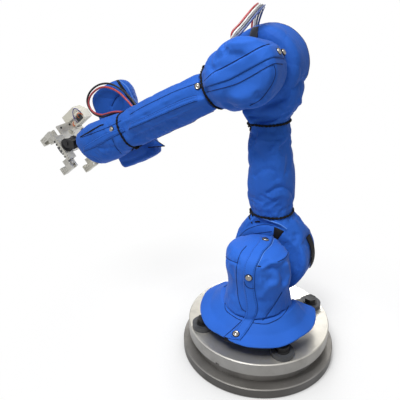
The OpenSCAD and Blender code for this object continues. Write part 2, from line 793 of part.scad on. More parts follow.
// Service loop from the front cover over the elbow into the far side of the rear cover.
// Each hose runs beside the next, about k millimetres sideways.
function elbow_run(k) = let (
    lift = front_r + 1.15 * elbow_hose_r,
    end_x = elbow_x + 57 - 0.9 * k,
    end_y = -139 + 0.2 * k)
    concat([[elbow_x + lift * cos(51), 10 + k, elbow_z + lift * sin(51)]],
        [for (q = [[41, -3, 85.5], [29, -18, 104], [18, -33, 123], [10, -50, 138], [11, -72, 144],
            [20, -95, 143], [33, -116, 134], [46, -130, 119], [54, -137, 100]])
            [elbow_x + q[0] - 0.9 * k, q[1] + 0.2 * k, elbow_z + q[2] - 0.15 * k]],
        [[end_x, end_y, dome_z(end_x, end_y) + 1.1 * elbow_hose_r]]);

module elbow_red_hose() {
    color([0.7, 0.1, 0.12]) hose(curve(elbow_run(-1.5 * elbow_hose_step), 4), elbow_hose_r);
}

module elbow_white_hose() {
    color([0.85, 0.85, 0.83]) hose(curve(elbow_run(-0.5 * elbow_hose_step), 4), elbow_hose_r);
}

module elbow_grey_hose() {
    color([0.3, 0.31, 0.33]) hose(curve(elbow_run(0.5 * elbow_hose_step), 4), elbow_hose_r);
}

module elbow_blue_hose() {
    color([0.1, 0.12, 0.4]) hose(curve(elbow_run(1.5 * elbow_hose_step), 4), elbow_hose_r);
}

// Marks along the forearm, above its axis and sideways, turned into the forearm's frame
function fore_run(marks) = [for (q = marks) [-q[1], q[2], q[0]]];

module wrist_red_hose() {
    run = fore_run([[440, 55.2, -18.8], [470, 66, -24], [502, 72, -29], [530, 77, -33],
        [553, 90, -36], [565, 108, -38], [563, 128, -40], [546, 143, -42], [520, 150, -44],
        [494, 149, -46], [468, 137, -47], [444, 114, -46], [424, 84, -40], [406, 51.4, -32]]);
    color([0.7, 0.1, 0.12]) fore_frame() hose(curve(run, 3), wrist_hose_r);
}

module wrist_black_hose() {
    run = fore_run([[440, 51.3, -27.7], [472, 62, -34], [505, 66, -38], [536, 70, -42],
        [562, 86, -44], [575, 108, -45], [572, 134, -46], [552, 152, -48], [522, 160, -50],
        [492, 158, -52], [462, 145, -53], [436, 119, -52], [414, 86, -47], [398, 46, -40]]);
    color(dark) fore_frame() hose(curve(run, 3), wrist_hose_r);
}

pedestal_flange();
pedestal_neck();
pedestal_plate();
robot_base();
foot_bolts();
turret_column();
base_skirt();
turret_cover();
shoulder_shaft();
shoulder_cover();
shoulder_gusset();
lower_arm_sleeve();
shoulder_tie();
elbow_tie();
elbow_rear_cover();
elbow_shaft();
elbow_front_cover();
forearm_tie();
forearm_spindle();
forearm_sleeve();
wrist_tie();
wrist_cover();
wrist_drive_cover();
wrist_stem();
wrist_knuckle();
tool_flange();
cross_bracket();
front_gripper_body();
rear_gripper_body();
front_upper_jaw();
front_lower_jaw();
rear_upper_jaw();
rear_lower_jaw();
elbow_red_hose();
elbow_white_hose();
elbow_grey_hose();
elbow_blue_hose();
wrist_red_hose();
wrist_black_hose();
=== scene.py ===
import itertools
import math

import bpy
import numpy as np
from mathutils import Matrix, Vector
from mathutils.bvhtree import BVHTree
from numpy.linalg import norm


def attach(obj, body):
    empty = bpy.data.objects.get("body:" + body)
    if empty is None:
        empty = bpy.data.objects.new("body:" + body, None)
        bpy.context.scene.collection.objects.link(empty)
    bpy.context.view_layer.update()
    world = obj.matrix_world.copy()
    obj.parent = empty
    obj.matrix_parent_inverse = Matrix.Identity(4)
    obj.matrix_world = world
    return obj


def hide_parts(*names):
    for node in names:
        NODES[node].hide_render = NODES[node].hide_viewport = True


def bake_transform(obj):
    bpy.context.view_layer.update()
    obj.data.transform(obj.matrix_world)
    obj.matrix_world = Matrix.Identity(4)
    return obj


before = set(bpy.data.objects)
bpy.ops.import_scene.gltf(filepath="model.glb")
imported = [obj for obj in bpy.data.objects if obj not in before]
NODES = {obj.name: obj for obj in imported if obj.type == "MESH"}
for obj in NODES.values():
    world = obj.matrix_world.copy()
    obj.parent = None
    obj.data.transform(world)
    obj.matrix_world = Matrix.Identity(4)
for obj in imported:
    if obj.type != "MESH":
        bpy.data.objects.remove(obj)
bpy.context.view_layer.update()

# Arm geometry of the CAD model, in metres
SHOULDER = np.array([0.0, -0.1, 0.272])
LEAN = math.radians(5)
ARM_DIR = np.array([math.sin(LEAN), 0, math.cos(LEAN)])
ARM_X = np.array([math.cos(LEAN), 0, -math.sin(LEAN)])
ELBOW = np.array([0.0470641, 0.0, 0.8099451])
PITCH = math.radians(28.3)
FORE_DIR = np.array([math.cos(PITCH), 0, -math.sin(PITCH)])
FORE_UP = np.array([math.sin(PITCH), 0, math.cos(PITCH)])
BEND = np.array([0.658413, 0, 0.53358])
TOOL_PITCH = math.radians(39)
TOOL_DIR = np.array([math.cos(TOOL_PITCH), 0, -math.sin(TOOL_PITCH)])
TOOL_DOWN = np.array([-math.sin(TOOL_PITCH), 0, -math.cos(TOOL_PITCH)])
SIDE = np.array([0.0, 1, 0])
LOWER_ARM, FOREARM = (SHOULDER, ARM_DIR, ARM_X), (ELBOW, FORE_DIR, FORE_UP)

# Places of the drawn cords, along the lower arm from the shoulder and along the forearm from the elbow
SHOULDER_TIE, ELBOW_TIE = 0.13, 0.389
FOREARM_TIE, WRIST_TIE = 0.115, 0.419


def fore(s, p, y):
    """Point at s along the forearm, p above its axis and y sideways, all in millimetres."""
    return ELBOW + (s * FORE_DIR + p * FORE_UP + y * SIDE) / 1000


def tool(t, d, y):
    """Point at t along the tool axis, d below it and y sideways, all in millimetres."""
    return BEND + (t * TOOL_DIR + d * TOOL_DOWN + y * SIDE) / 1000


# Camera
CAM_AT = Vector((-0.429, 1.122, 1.037))
CAM_LOOK = Vector((0.4387, -0.7914, -0.4258)).normalized()
camera_data = bpy.data.cameras.new("camera")
camera_data.lens = 45
camera_data.sensor_width = 36
camera_data.clip_start = 0.01
camera = bpy.data.objects.new("camera", camera_data)
camera.matrix_world = (
    Matrix.Translation(CAM_AT)
    @ CAM_LOOK.to_track_quat("-Z", "Y").to_matrix().to_4x4()
    @ Matrix.Rotation(math.radians(-0.4), 4, "Z")
)
bpy.context.collection.objects.link(camera)
bpy.context.scene.camera = camera
CAM_AXES = camera.matrix_world.to_3x3()
MIDDLE, FOCAL = 200, 500


def view_ray(u, v):
    """Direction through a mark of the 400 by 400 picture."""
    return (CAM_AXES @ Vector(((u - MIDDLE) / FOCAL, (MIDDLE - v) / FOCAL, -1))).normalized()


# Materials
def new_material(name):
    material = bpy.data.materials.new(name)
    material.use_nodes = True
    tree = material.node_tree
    return material, tree, tree.nodes["Principled BSDF"]


def link(source, target):
    source.id_data.links.new(source, target)


def add(tree, kind, **values):
    """Shader node with its inputs or settings."""
    node = tree.nodes.new("ShaderNode" + kind)
    for key, value in values.items():
        if key in node.inputs:
            node.inputs[key].default_value = value
        else:
            setattr(node, key, value)
    return node


def texture(tree, kind, **values):
    """Outputs of a procedural texture in object space."""
    node = add(tree, "Tex" + kind, **values)
    link(add(tree, "TexCoord").outputs["Object"], node.inputs["Vector"])
    return node.outputs


def ramp(source, *stops):
    """Colour ramp: each stop is a place and a colour, or a place and a grey."""
    node = add(source.id_data, "ValToRGB")
    while len(node.color_ramp.elements) < len(stops):
        node.color_ramp.elements.new(0.5)
    for element, (place, colour) in zip(node.color_ramp.elements, stops):
        element.position = place
        element.color = (*(colour if isinstance(colour, tuple) else (colour,) * 3), 1)
    link(source, node.inputs["Fac"])
    return node.outputs["Color"]


def bump(source, strength, distance, before=None):
    node = add(source.id_data, "Bump", Strength=strength, Distance=distance)
    link(source, node.inputs["Height"])
    if before is not None:
        link(before, node.inputs["Normal"])
    return node.outputs["Normal"]


def multiplied(a, b, factor):
    node = add(a.id_data, "Mix", data_type="RGBA", blend_type="MULTIPLY", Factor=factor)
    link(a, node.inputs["A"])
    link(b, node.inputs["B"])
    return node.outputs["Result"]


def maths(operation, a, b):
    node = add(a.id_data, "Math", operation=operation)
    link(a, node.inputs[0])
    link(b, node.inputs[1])
    return node.outputs["Value"]


def feed(shader, constants, *sources):
    """Sets a shader's constants and links its colour, normal and roughness."""
    for key, value in constants.items():
        shader.inputs[key].default_value = value
    for key, source in zip(("Base Color", "Normal", "Roughness"), sources):
        link(source, shader.inputs[key])


def shade(colour, factor):
    return tuple(min(1.0, c * factor) for c in colour)


def cloth_material(name, colour, sheen=0.05):
    """Coated jacket cloth: fine crossed weave, faint creases and uneven dye."""
    material, tree, shader = new_material(name)
    patches = texture(tree, "Noise", Scale=9, Detail=4, Roughness=0.55)["Fac"]
    crease = texture(tree, "Noise", Scale=26, Detail=5, Roughness=0.5)["Fac"]
    weave = maths("MULTIPLY", *(
        texture(tree, "Wave", Scale=420, Distortion=0.6, Detail=1, bands_direction=way)["Fac"]
        for way in ("X", "Z")))
    tone = ramp(patches, (0.25, shade(colour, 0.88)), (0.55, colour), (0.8, shade(colour, 1.1)))
    feed(shader, {"Sheen Weight": sheen, "Sheen Roughness": 0.4, "Specular IOR Level": 0.14},
         multiplied(tone, weave, 0.14), bump(crease, 0.2, 0.004, bump(weave, 0.2, 0.0005)),
         ramp(patches, (0.3, 0.62), (0.7, 0.78)))
    return material


def metal_material(name, colour, rough, metallic, scale, strength, spread=0.12):
    """Metal with fine grain, uneven polish and slightly worn tone."""
    material, tree, shader = new_material(name)
    grain = texture(tree, "Noise", Scale=scale, Detail=6, Roughness=0.65)["Fac"]
    patches = texture(tree, "Noise", Scale=11, Detail=3)["Fac"]
    feed(shader, {"Metallic": metallic},
         ramp(patches, (0.3, shade(colour, 0.82)), (0.7, shade(colour, 1.08))), bump(grain, strength, 0.0006),
         ramp(patches, (0.3, max(0.05, rough - spread)), (0.7, min(1.0, rough + spread))))
    return material


def turned_material(name, top, rim, rough, metallic):
    """Turned steel: faces turned up painted lighter and sides painted darker (painted light and shade), fine rings,
    stains and small scuffs.
    """
    material, tree, shader = new_material(name)
    rings = texture(tree, "Wave", Scale=95, Distortion=0.35, Detail=2, wave_type="RINGS", rings_direction="Z")
    stains = texture(tree, "Noise", Scale=14, Detail=7, Roughness=0.62)["Fac"]
    broad = texture(tree, "Noise", Scale=4, Detail=2)["Fac"]
    # Tone by facing: faces turned up take the top colour, side faces the darker rim colour; painted light and shade
    split = add(tree, "SeparateXYZ")
    link(add(tree, "NewGeometry").outputs["Normal"], split.inputs["Vector"])
    tone = multiplied(ramp(split.outputs["Z"], (0.3, rim), (0.8, top)),
                      ramp(stains, (0.3, 0.66), (0.46, 0.92), (0.6, 1.0), (0.8, 1.0)), 0.8)
    tone = multiplied(tone, ramp(broad, (0.35, (0.86, 0.84, 0.8)), (0.65, 1.0)), 1.0)
    feed(shader, {"Metallic": metallic},
         multiplied(tone, rings["Color"], 0.14), bump(rings["Fac"], 0.12, 0.0006),
         ramp(stains, (0.3, rough + 0.16), (0.65, rough)))
    return material


def rubber_material(name, colour, rough=0.5, gloss=0.4):
    """Hose or cord: smooth skin with a little bloom and a faint noise bump."""
    material, tree, shader = new_material(name)
    bloom = texture(tree, "Noise", Scale=60, Detail=3)["Fac"]
    feed(shader, {"Roughness": rough, "Specular IOR Level": gloss},
         ramp(bloom, (0.35, shade(colour, 0.85)), (0.75, shade(colour, 1.15))), bump(bloom, 0.1, 0.0005))
    return material


JACKET = cloth_material("jacket cloth", (0.021, 0.112, 0.5))
# Seam lines and stitches: thread, painted dark as the shade of the overlapped cloth's step
THREAD_AND_SEAM_SHADE = cloth_material("seam thread and painted seam shade", (0.005, 0.02, 0.1), 0)
# Lighter blue cloth: the strap edge and the drive cover's strip, and painted highlight on the shoulder's ridge
EDGE_AND_PAINTED_HIGHLIGHT = cloth_material("light edge and painted highlight", (0.09, 0.24, 0.68), 0.1)
# Black tape; along the slits and the slot it is painted shade of the opening
TAPE_AND_SLIT_SHADE = cloth_material("black tape and painted slit shade", (0.006, 0.006, 0.008), 0)
PATCH = cloth_material("grey hook tape", (0.06, 0.066, 0.08), 0.2)
CORD = rubber_material("black cord", (0.006, 0.006, 0.007), 0.6, 0.1)
# Turned metals: the first colour is for faces turned up, the second, darker one is painted shade on the sides
STEEL = turned_material("turned steel", (0.6, 0.585, 0.545), (0.3, 0.295, 0.285), 0.3, 0.85)
FLANGE = turned_material("flange steel", (0.27, 0.262, 0.252), (0.105, 0.102, 0.1), 0.38, 0.85)
NECK = turned_material("dark neck", (0.26, 0.255, 0.25), (0.26, 0.255, 0.25), 0.45, 0.8)
IRON = metal_material("dark casting", (0.045, 0.047, 0.052), 0.55, 0.3, 260, 0.3)
BLACK = metal_material("black metal", (0.008, 0.008, 0.009), 0.5, 0.2, 220, 0.15)
ALLOY = metal_material("clear alloy", (0.5, 0.49, 0.45), 0.36, 0.7, 300, 0.1)
IVORY = metal_material("ivory alloy", (0.62, 0.6, 0.52), 0.5, 0.2, 260, 0.08)
CHROME = metal_material("bright stud", (0.3, 0.28, 0.25), 0.2, 1, 90, 0.05, 0.08)
RED_HOSE = rubber_material("red hose", (0.36, 0.045, 0.05), 0.35)
WHITE_HOSE = rubber_material("white hose", (0.62, 0.62, 0.6), 0.35)
BLACK_HOSE = rubber_material("black hose", (0.01, 0.01, 0.013), 0.4, 0.25)
GREY_HOSE = rubber_material("grey hose", (0.14, 0.15, 0.17), 0.35)
BLUE_HOSE = rubber_material("dark blue hose", (0.06, 0.09, 0.24), 0.35)
VIOLET = rubber_material("violet wire", (0.05, 0.035, 0.22), 0.4)
ORANGE = rubber_material("orange wire", (0.6, 0.12, 0.015), 0.4)


# Mesh helpers
def put(name, points, faces, material, body, smooth=True):
    mesh = bpy.data.meshes.new(name)
    mesh.from_pydata([tuple(map(float, p)) for p in points], [], faces)
    mesh.materials.append(material)
    mesh.validate()
    if smooth:
        mesh.shade_smooth()
    thing = bpy.data.objects.new(name, mesh)
    bpy.context.collection.objects.link(thing)
    if body:
        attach(thing, body)
    return thing


def quads(rows, count):
    """Faces of a grid of points, row by row."""
    return [[i * count + k, i * count + k + 1, (i + 1) * count + k + 1, (i + 1) * count + k]
            for i in range(rows - 1) for k in range(count - 1)]


def ring_faces(rows, count, closed=False):
    """Faces of a tube of rings of points, with its ends shut unless its run is closed."""
    faces = []
    for i in range(rows if closed else rows - 1):
        j = (i + 1) % rows
        for k in range(count):
            m = (k + 1) % count
            faces.append([i * count + k, i * count + m, j * count + m, j * count + k])
    if not closed:
        faces += [list(range(count))[::-1], list(range((rows - 1) * count, rows * count))]
    return faces


def joined(shapes):
    """Points and faces of several shapes as one."""
    points, faces = [], []
    for more, polygons in shapes:
        start = len(points)
        points += list(more)
        faces += [[start + i for i in f] for f in polygons]
    return points, faces


def baked(thing):
    """Replaces an object's mesh by its evaluated one and clears its modifiers."""
    bpy.context.view_layer.update()
    graph = bpy.context.evaluated_depsgraph_get()
    mesh = bpy.data.meshes.new_from_object(thing.evaluated_get(graph))
    thing.modifiers.clear()
    thing.data = mesh
    return thing


def vectors(rows, key):
    flat = np.zeros(len(rows) * 3)
    rows.foreach_get(key, flat)
    return flat.reshape(-1, 3)


def coords(thing):
    return vectors(thing.data.vertices, "co")


def normals(thing):
    return vectors(thing.data.vertex_normals, "vector")


def set_coords(thing, points):
    thing.data.vertices.foreach_set("co", points.astype(np.float32).ravel())
    thing.data.update()


CELLS = 64
TABLE = np.random.default_rng(7).random((CELLS, CELLS, CELLS))


def noise(points, scale, seed=0):
    """Smooth value noise from -1 to 1."""
    q = points * scale + 17.3 * seed + 1000
    cell = np.floor(q).astype(int)
    f = q - cell
    f = f * f * (3 - 2 * f)
    total = np.zeros(len(q))
    for corner in itertools.product((0, 1), repeat=3):
        total += np.prod(np.where(corner, f, 1 - f), axis=1) * TABLE[tuple(((cell + corner) % CELLS).T)]
    return 2 * total - 1


def ridged(points, scale, seed=0):
    """Noise with sharp valleys, like creased cloth, from -1 to 1."""
    return 2 * np.sqrt(np.abs(noise(points, scale, seed))) - 1


def through(marks, step=1.5):
    """Smooth run of points through marks, about step apart."""
    p = [np.array(m, float) for m in marks]
    out = []
    for i in range(len(p) - 1):
        a, b, c, d = p[max(i - 1, 0)], p[i], p[i + 1], p[min(i + 2, len(p) - 1)]
        count = max(2, int(norm(c - b) / step))
        for k in range(count):
            t = k / count
            out.append(0.5 * (2 * b + (c - a) * t + (2 * a - 5 * b + 4 * c - d) * t * t
                              + (3 * b - a - 3 * c + d) * t ** 3))
    out.append(p[-1])
    return out


def lengths(run):
    """Distance along a run at each of its points."""
    return np.concatenate([[0], np.cumsum(norm(np.diff(np.array(run), axis=0), axis=1))])


def spaced(marks, count):
    """Evenly spaced points on a smooth run through marks."""
    run = np.array(through(marks, 0.5))
    far = lengths(run)
    return np.stack([np.interp(np.linspace(0, far[-1], count), far, run[:, k]) for k in range(run.shape[1])], axis=1)


def smoothed(values, rounds):
    values = np.array(values, float)
    for _ in range(rounds):
        values[1:-1] = 0.25 * values[:-2] + 0.5 * values[1:-1] + 0.25 * values[2:]
    return values


def unit(v):
    v = np.array(v, float)
    return v / norm(v, axis=-1, keepdims=True)


def tube(run, radius, sides=8, closed=False):
    """Round cord along a run of points."""
    run = np.array(run, float)
    n = len(run)
    tangents = unit(np.roll(run, -1, 0) - np.roll(run, 1, 0) if closed else np.gradient(run, axis=0))
    u = np.cross(tangents[0], (0.31, 0.52, 0.79))
    radii = np.broadcast_to(radius, n)
    points = []
    for i in range(n):
        u = unit(u - tangents[i] * (u @ tangents[i]))
        v = np.cross(tangents[i], u)
        for k in range(sides):
            a = math.tau * k / sides
            points.append(run[i] + radii[i] * (math.cos(a) * u + math.sin(a) * v))
    return points, ring_faces(n, sides, closed)


def band(run, ups, width, thick):
    """Flat band with rounded edges along a run of points that lies on a surface."""
    run, ups = np.array(run), np.array(ups)
    across = unit(np.cross(ups, np.gradient(run, axis=0)))
    profile = [(-0.5, -0.6), (-0.5, 0.5), (-0.42, 1.0), (0, 1.1), (0.42, 1.0), (0.5, 0.5), (0.5, -0.6)]
    widths = np.broadcast_to(width, len(run))
    points = [run[i] + across[i] * widths[i] * a + ups[i] * thick * b for i in range(len(run)) for a, b in profile]
    return points, ring_faces(len(run), len(profile))


# Cords come first: air hoses, near the routes of the CAD model, and wires
def cord(name, route, radius, material, body=None, node=None):
    run = np.array(through(route, 0.004))
    thing = put(name, *tube(run, radius, 12), material, body)
    if node:
        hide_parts(node)
    lengths(run)[-1]
    return thing


def dome_z(x, y):
    """Height above the elbow axis of the rear cover's top, in millimetres."""
    radius, edge = 98, 26
    d = y + 155
    r = radius - edge + math.sqrt(edge ** 2 - (edge - d) ** 2) if d < edge else radius
    return math.sqrt(r * r - x * x)


# Loop of one elbow hose from the front cover's top, at EXIT, to the rear cover, in millimetres from the elbow
EXIT = np.array((84.99 * math.cos(math.radians(51)) + 4, 12, 84.99 * math.sin(math.radians(51)) - 6))
LOOP = ((46, 1, 80), (34, -14, 98), (23, -29, 117), (15, -46, 132), (16, -70, 138), (23, -95, 138),
        (35, -116, 130), (46, -130, 116), (54, -137, 99))
HOSE_STEP = 7.6
FAN = np.array((-0.9, 0.2, -0.15))

for colour, material, turn in (
        ("red", RED_HOSE, -1.5), ("white", WHITE_HOSE, -0.5), ("grey", GREY_HOSE, 0.5), ("blue", BLUE_HOSE, 1.5)):
    k = HOSE_STEP * turn
    start = EXIT + (0, k, 0)
    x, y = (57, -139) + FAN[:2] * k
    route = [start + (6, 9, -20), start] + [FAN * k + q for q in LOOP]
    route += [(x, y, dome_z(x, y) + 2.86), (x + 1, y, dome_z(x, y) - 9)]
    hose = cord(f"elbow_{colour}_hose", [ELBOW + np.array(q) / 1000 for q in route], 0.0026, material,
                node=f"elbow_{colour}_hose")
    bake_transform(hose)

cord("wrist_red_hose", [fore(*q) for q in (
    (427, 47, -15), (441, 55.2, -18.8), (470, 66, -24), (502, 72, -29), (530, 77, -33), (553, 90, -36),
    (565, 108, -38), (563, 128, -40), (546, 143, -42), (520, 150, -44), (494, 149, -46), (468, 137, -47),
    (444, 114, -46), (424, 84, -40), (406, 51.4, -32), (402, 44, -30))],
    0.003, RED_HOSE, "forearm", "wrist_red_hose")
cord("wrist_black_hose", [fore(*q) for q in (
    (427, 44, -23), (441, 51.3, -27.7), (472, 62, -34), (505, 66, -38), (536, 70, -42), (562, 86, -44),
    (575, 108, -45), (572, 134, -46), (552, 152, -48), (522, 160, -50), (492, 158, -52), (462, 145, -53),
    (436, 119, -52), (414, 86, -47), (398, 46, -40), (395, 38, -38))],
    0.003, BLACK_HOSE, "forearm", "wrist_black_hose")
cord("violet_wire", [tool(*q) for q in (
    (-32.5, -57.5, -82.5), (-36, -62.5, -75.2), (-38.4, -71, -70.8), (-36.6, -81.5, -68.8), (-28.5, -88.3, -68),
    (-17.5, -85, -67.6), (-8, -74, -67), (-2.5, -61, -69.4), (-0.2, -51.5, -73.5), (0.6, -46.5, -80.5))],
    0.0013, VIOLET, "tool")
cord("orange_wire", [tool(*q) for q in (
    (-36.5, -50, -82), (-37.6, -56.5, -75.4), (-36.4, -64, -70.6), (-31, -69, -67.6), (-24, -67.5, -67.4),
    (-19.5, -61.5, -70), (-17.6, -56, -75.4), (-17.4, -53.6, -82))],
    0.0012, ORANGE, "tool")
cord("orange_lead", [tool(*q) for q in (
    (11, -66, -81), (15.6, -61, -74.5), (19.4, -54.5, -71.6), (19.6, -48.5, -74), (17, -45.8, -81))],
    0.0013, ORANGE, "tool")


# Cloth helpers
def cloth_from(name, nodes, voxel, rounds):
    """One soft skin round these CAD solids."""
    shapes = [([tuple(v.co) for v in NODES[n].data.vertices], [list(p.vertices) for p in NODES[n].data.polygons])
              for n in nodes]
    thing = put(name, *joined(shapes), JACKET, None)
    remesh = thing.modifiers.new("remesh", "REMESH")
    remesh.mode = "VOXEL"
    remesh.voxel_size = voxel
    smooth = thing.modifiers.new("smooth", "SMOOTH")
    smooth.factor = 0.5
    smooth.iterations = rounds
    return baked(thing)


CLOTH = {
    "vertex_group_mass": "held", "quality": 5, "mass": 0.3, "tension_stiffness": 25, "compression_stiffness": 25,
    "shear_stiffness": 8, "bending_stiffness": 0.4, "use_pressure": True, "uniform_pressure_force": 3,
}
FRAMES = 20


def drape(thing, held, grow=0.03, cap=0.006):
    """Lets the cloth swell and wrinkle a little between the places that hold it."""
    start = coords(thing)
    group = thing.vertex_groups.new(name="held")
    for level in (0.25, 0.5, 0.75, 1.0):
        chosen = np.nonzero((held > level - 0.125) & (held <= level + 0.125))[0]
        group.add(chosen.tolist(), level, "REPLACE")
    cloth = thing.modifiers.new("cloth", "CLOTH")
    for key, value in (CLOTH | {"shrink_min": -grow, "shrink_max": -grow}).items():
        setattr(cloth.settings, key, value)
    cloth.settings.effector_weights.gravity = 0
    cloth.point_cache.frame_start = 1
    cloth.point_cache.frame_end = FRAMES
    for number in range(1, FRAMES + 1):
        bpy.context.scene.frame_set(number)
    baked(thing)
    bpy.context.scene.frame_set(1)
    moved = coords(thing) - start
    size = norm(moved, axis=1, keepdims=True)
    set_coords(thing, start + moved * np.minimum(1, cap / np.maximum(size, 1e-9)))
    thing.vertex_groups.clear()


def finer(thing):
    """One round of subdivision. Gives the new points and normals."""
    modifier = thing.modifiers.new("finer", "SUBSURF")
    modifier.levels = 1
    baked(thing)
    return coords(thing), normals(thing)


def finish_cloth(thing, body, *nodes):
    thing.data.shade_smooth()
    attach(thing, body)
    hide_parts(*nodes)
    return tree_of(thing)


def tree_of(*things):
    return BVHTree.FromPolygons(*joined([
        ([thing.matrix_world @ v.co for v in thing.data.vertices], [list(p.vertices) for p in thing.data.polygons])
        for thing in things]))


def seen_on(tree, marks, step=0.8):
    """Places and normals of a surface behind these marks of the picture."""
    places, ups = [], []
    for u, v in through(marks, step):
        hit, up, _, _ = tree.ray_cast(CAM_AT, view_ray(u, v))
        if hit is not None and (not places or norm(np.array(hit) - places[-1]) < 0.03):
            places.append(np.array(hit))
            ups.append(np.array(up))
    return smoothed(places, 3), unit(smoothed(ups, 6))


def onto(tree, points, step=0.003):
    """Places and normals of a surface nearest to a smooth run through points."""
    places, ups = [], []
    for q in through(points, step):
        hit, up, _, _ = tree.find_nearest(Vector(q))
        places.append(np.array(hit))
        ups.append(np.array(up))
    return smoothed(places, 2), unit(smoothed(ups, 6))


def distance_to(points, places):
    """Distance of each point from the nearest of these places."""
    best = np.full(len(points), 1.0)
    for place in places:
        best = np.minimum(best, norm(points - place, axis=1))
    return best


def folds(thing, *strokes):
    """Presses folds into a cloth: each stroke is marks of the picture, height and width in metres."""
    tree = tree_of(thing)
    p, n = coords(thing), normals(thing)
    move = np.zeros(len(p))
    for marks, height, width in strokes:
        places, _ = seen_on(tree, marks, 1.5)
        move += height * pinch(distance_to(p, places), width)
    set_coords(thing, p + n * move[:, None])


def pinch(distance, width):
    """1 at no distance, falling to 0 beyond this width."""
    return np.exp(-((distance / width) ** 2))


def ease(distance, width):
    """0 up to no distance, rising to 1 at this width."""
    return np.clip(distance / width, 0, 1)


def round_axis(points, origin, axis, across):
    """Distance along an axis from its origin, and angle about it."""
    rel = points - origin
    return rel @ axis, np.arctan2(rel @ SIDE, rel @ across)


def gathers(points, along, turn, at, count, height, reach, seed):
    """Small folds that fan out from a tie."""
    near = along - at
    wave = np.sin(turn * count + 2.4 * noise(points, 9, seed)) * (0.7 + 0.6 * noise(points, 14, seed + 1))
    return height * wave * np.exp(-np.abs(near) / reach) * (1 - pinch(near, 0.005))


# Sewing helpers
def stitch_row(tree, line, length=0.0034, gap=0.0022):
    """Row of thread stitches along a line on a surface."""
    far = lengths(line)
    points, faces = [], []
    for at in np.arange(0.002, far[-1] - length, length + gap):
        ends = []
        for s in (at, at + length):
            q = Vector([np.interp(s, far, line[:, k]) for k in range(3)])
            hit, up, _, off = tree.find_nearest(q)
            if off < 0.006:
                ends.append((np.array(hit), np.array(up)))
        if len(ends) < 2:
            continue
        (a, ua), (b, _) = ends
        side = np.cross(ua, unit(b - a)) * 0.0004
        mid = 0.5 * (a + b) + ua * 0.0006
        start = len(points)
        points += [a + side, a - side, b - side, b + side, mid + side * 0.9, mid - side * 0.9]
        faces += [[start + i for i in f] for f in ((0, 1, 5, 4), (4, 5, 2, 3), (0, 4, 3), (1, 2, 5))]
    return points, faces


def seam_on(name, lines, body, radius=0.001):
    """Sewn seams: lines pressed into a surface, their dark colour painted shade of the seam's step."""
    put(name + "_lines", *joined([
        tube(places + ups * 0.0002, radius, 6) for places, ups in lines if len(places) >= 5]), THREAD_AND_SEAM_SHADE, body)


def sewn(name, tree, body, *lines, radius=0.001):
    """Seams along marks of the picture."""
    seam_on(name, [seen_on(tree, marks) for marks in lines], body, radius)


def strip(name, tree, left, right, body, material, lift, across, rows=0, stitched=True):
    """Strip of cloth between two lines of marks, laid on a surface with turned-down edges."""
    rows = rows or max(6, int(lengths(left)[-1] / 1.2))
    a, b = spaced(left, rows), spaced(right, rows)
    grid, lifts = np.zeros((rows, across + 1, 3)), np.zeros((rows, across + 1, 3))
    depth, tuck = None, 0.0015
    for i in range(rows):
        for k in range(across + 1):
            u, v = a[i] + (b[i] - a[i]) * k / across
            ray = view_ray(u, v)
            hit, up, _, far = tree.ray_cast(CAM_AT, ray)
            if hit is None or (depth is not None and abs(far - depth) > 0.04):
                hit, up, _, _ = tree.find_nearest(CAM_AT + ray * (depth or 1.3))
            else:
                depth = far
            grid[i, k], lifts[i, k] = hit, up
    for k in range(across + 1):
        grid[:, k], lifts[:, k] = smoothed(grid[:, k], 3), smoothed(lifts[:, k], 5)
    lifts = unit(lifts)
    columns = [grid[:, 0] - tuck * lifts[:, 0]] + [
        grid[:, k] + lift * (0.75 if k in (0, across) else 1.0) * lifts[:, k] for k in range(across + 1)
    ] + [grid[:, -1] - tuck * lifts[:, -1]]
    wide = len(columns)
    top = np.stack(columns, axis=1)
    ends = [top[i] - (lift + tuck) * lifts[i, 0] for i in (0, -1)]
    points = np.concatenate([ends[:1], top, ends[1:]]).reshape(-1, 3)
    faces = [[q, q + wide, q + wide + 1, q + 1] for i in range(rows + 1) for q in range(i * wide, (i + 1) * wide - 1)]
    thing = put(name, points, faces, material, body)
    dark = []
    for column, inward in ((0, 1), (across, -1)):
        # Dark tube at the foot of each edge: painted shade of the raised edge; then a row of stitches
        dark.append(tube(grid[:, column] + lifts[:, column] * 0.0005, 0.0008, 6))
        if stitched:
            way = unit(grid[:, column + inward] - grid[:, column])
            line = grid[:, column] + way * 0.0042 + lifts[:, column] * lift
            dark.append(stitch_row(tree_of(thing), line))
    put(name + "_edges", *joined(dark), THREAD_AND_SEAM_SHADE if material is JACKET else TAPE_AND_SLIT_SHADE, body)
    return thing


def line_on(name, tree, marks, radius, material, body, flat=0):
    """Cord or, where flat is given, a band of that width along marks of the picture."""
    places, ups = seen_on(tree, marks)
    shape = band(places, ups, flat, radius) if flat else tube(places + ups * radius * 0.3, radius, 8)
    put(name, *shape, material, body)


def stud_shape(place, up, radius, profile, count=28):
    turn = Vector(up).normalized().to_track_quat("Z", "Y").to_matrix()
    points = []
    for r, h in profile:
        for k in range(count):
            a = math.tau * k / count
            points.append(Vector(place) + turn @ Vector(
                (r * radius * math.cos(a), r * radius * math.sin(a), h * radius)))
    faces = [[i * count + k, (i + 1) * count + k, (i + 1) * count + (k + 1) % count, i * count + (k + 1) % count]
             for i in range(len(profile) - 1) for k in range(count)]
    return points, faces


STUD = [(0, 0.4), (0.2, 0.4), (0.36, 0.37), (0.46, 0.3), (0.52, 0.28), (0.58, 0.31), (0.72, 0.4), (0.84, 0.4),
        (0.94, 0.3), (1.0, 0.14), (0.98, -0.2)]
WASHER = [(0.9, 0.06), (1.08, 0.1), (1.16, 0.06), (1.18, -0.2)]


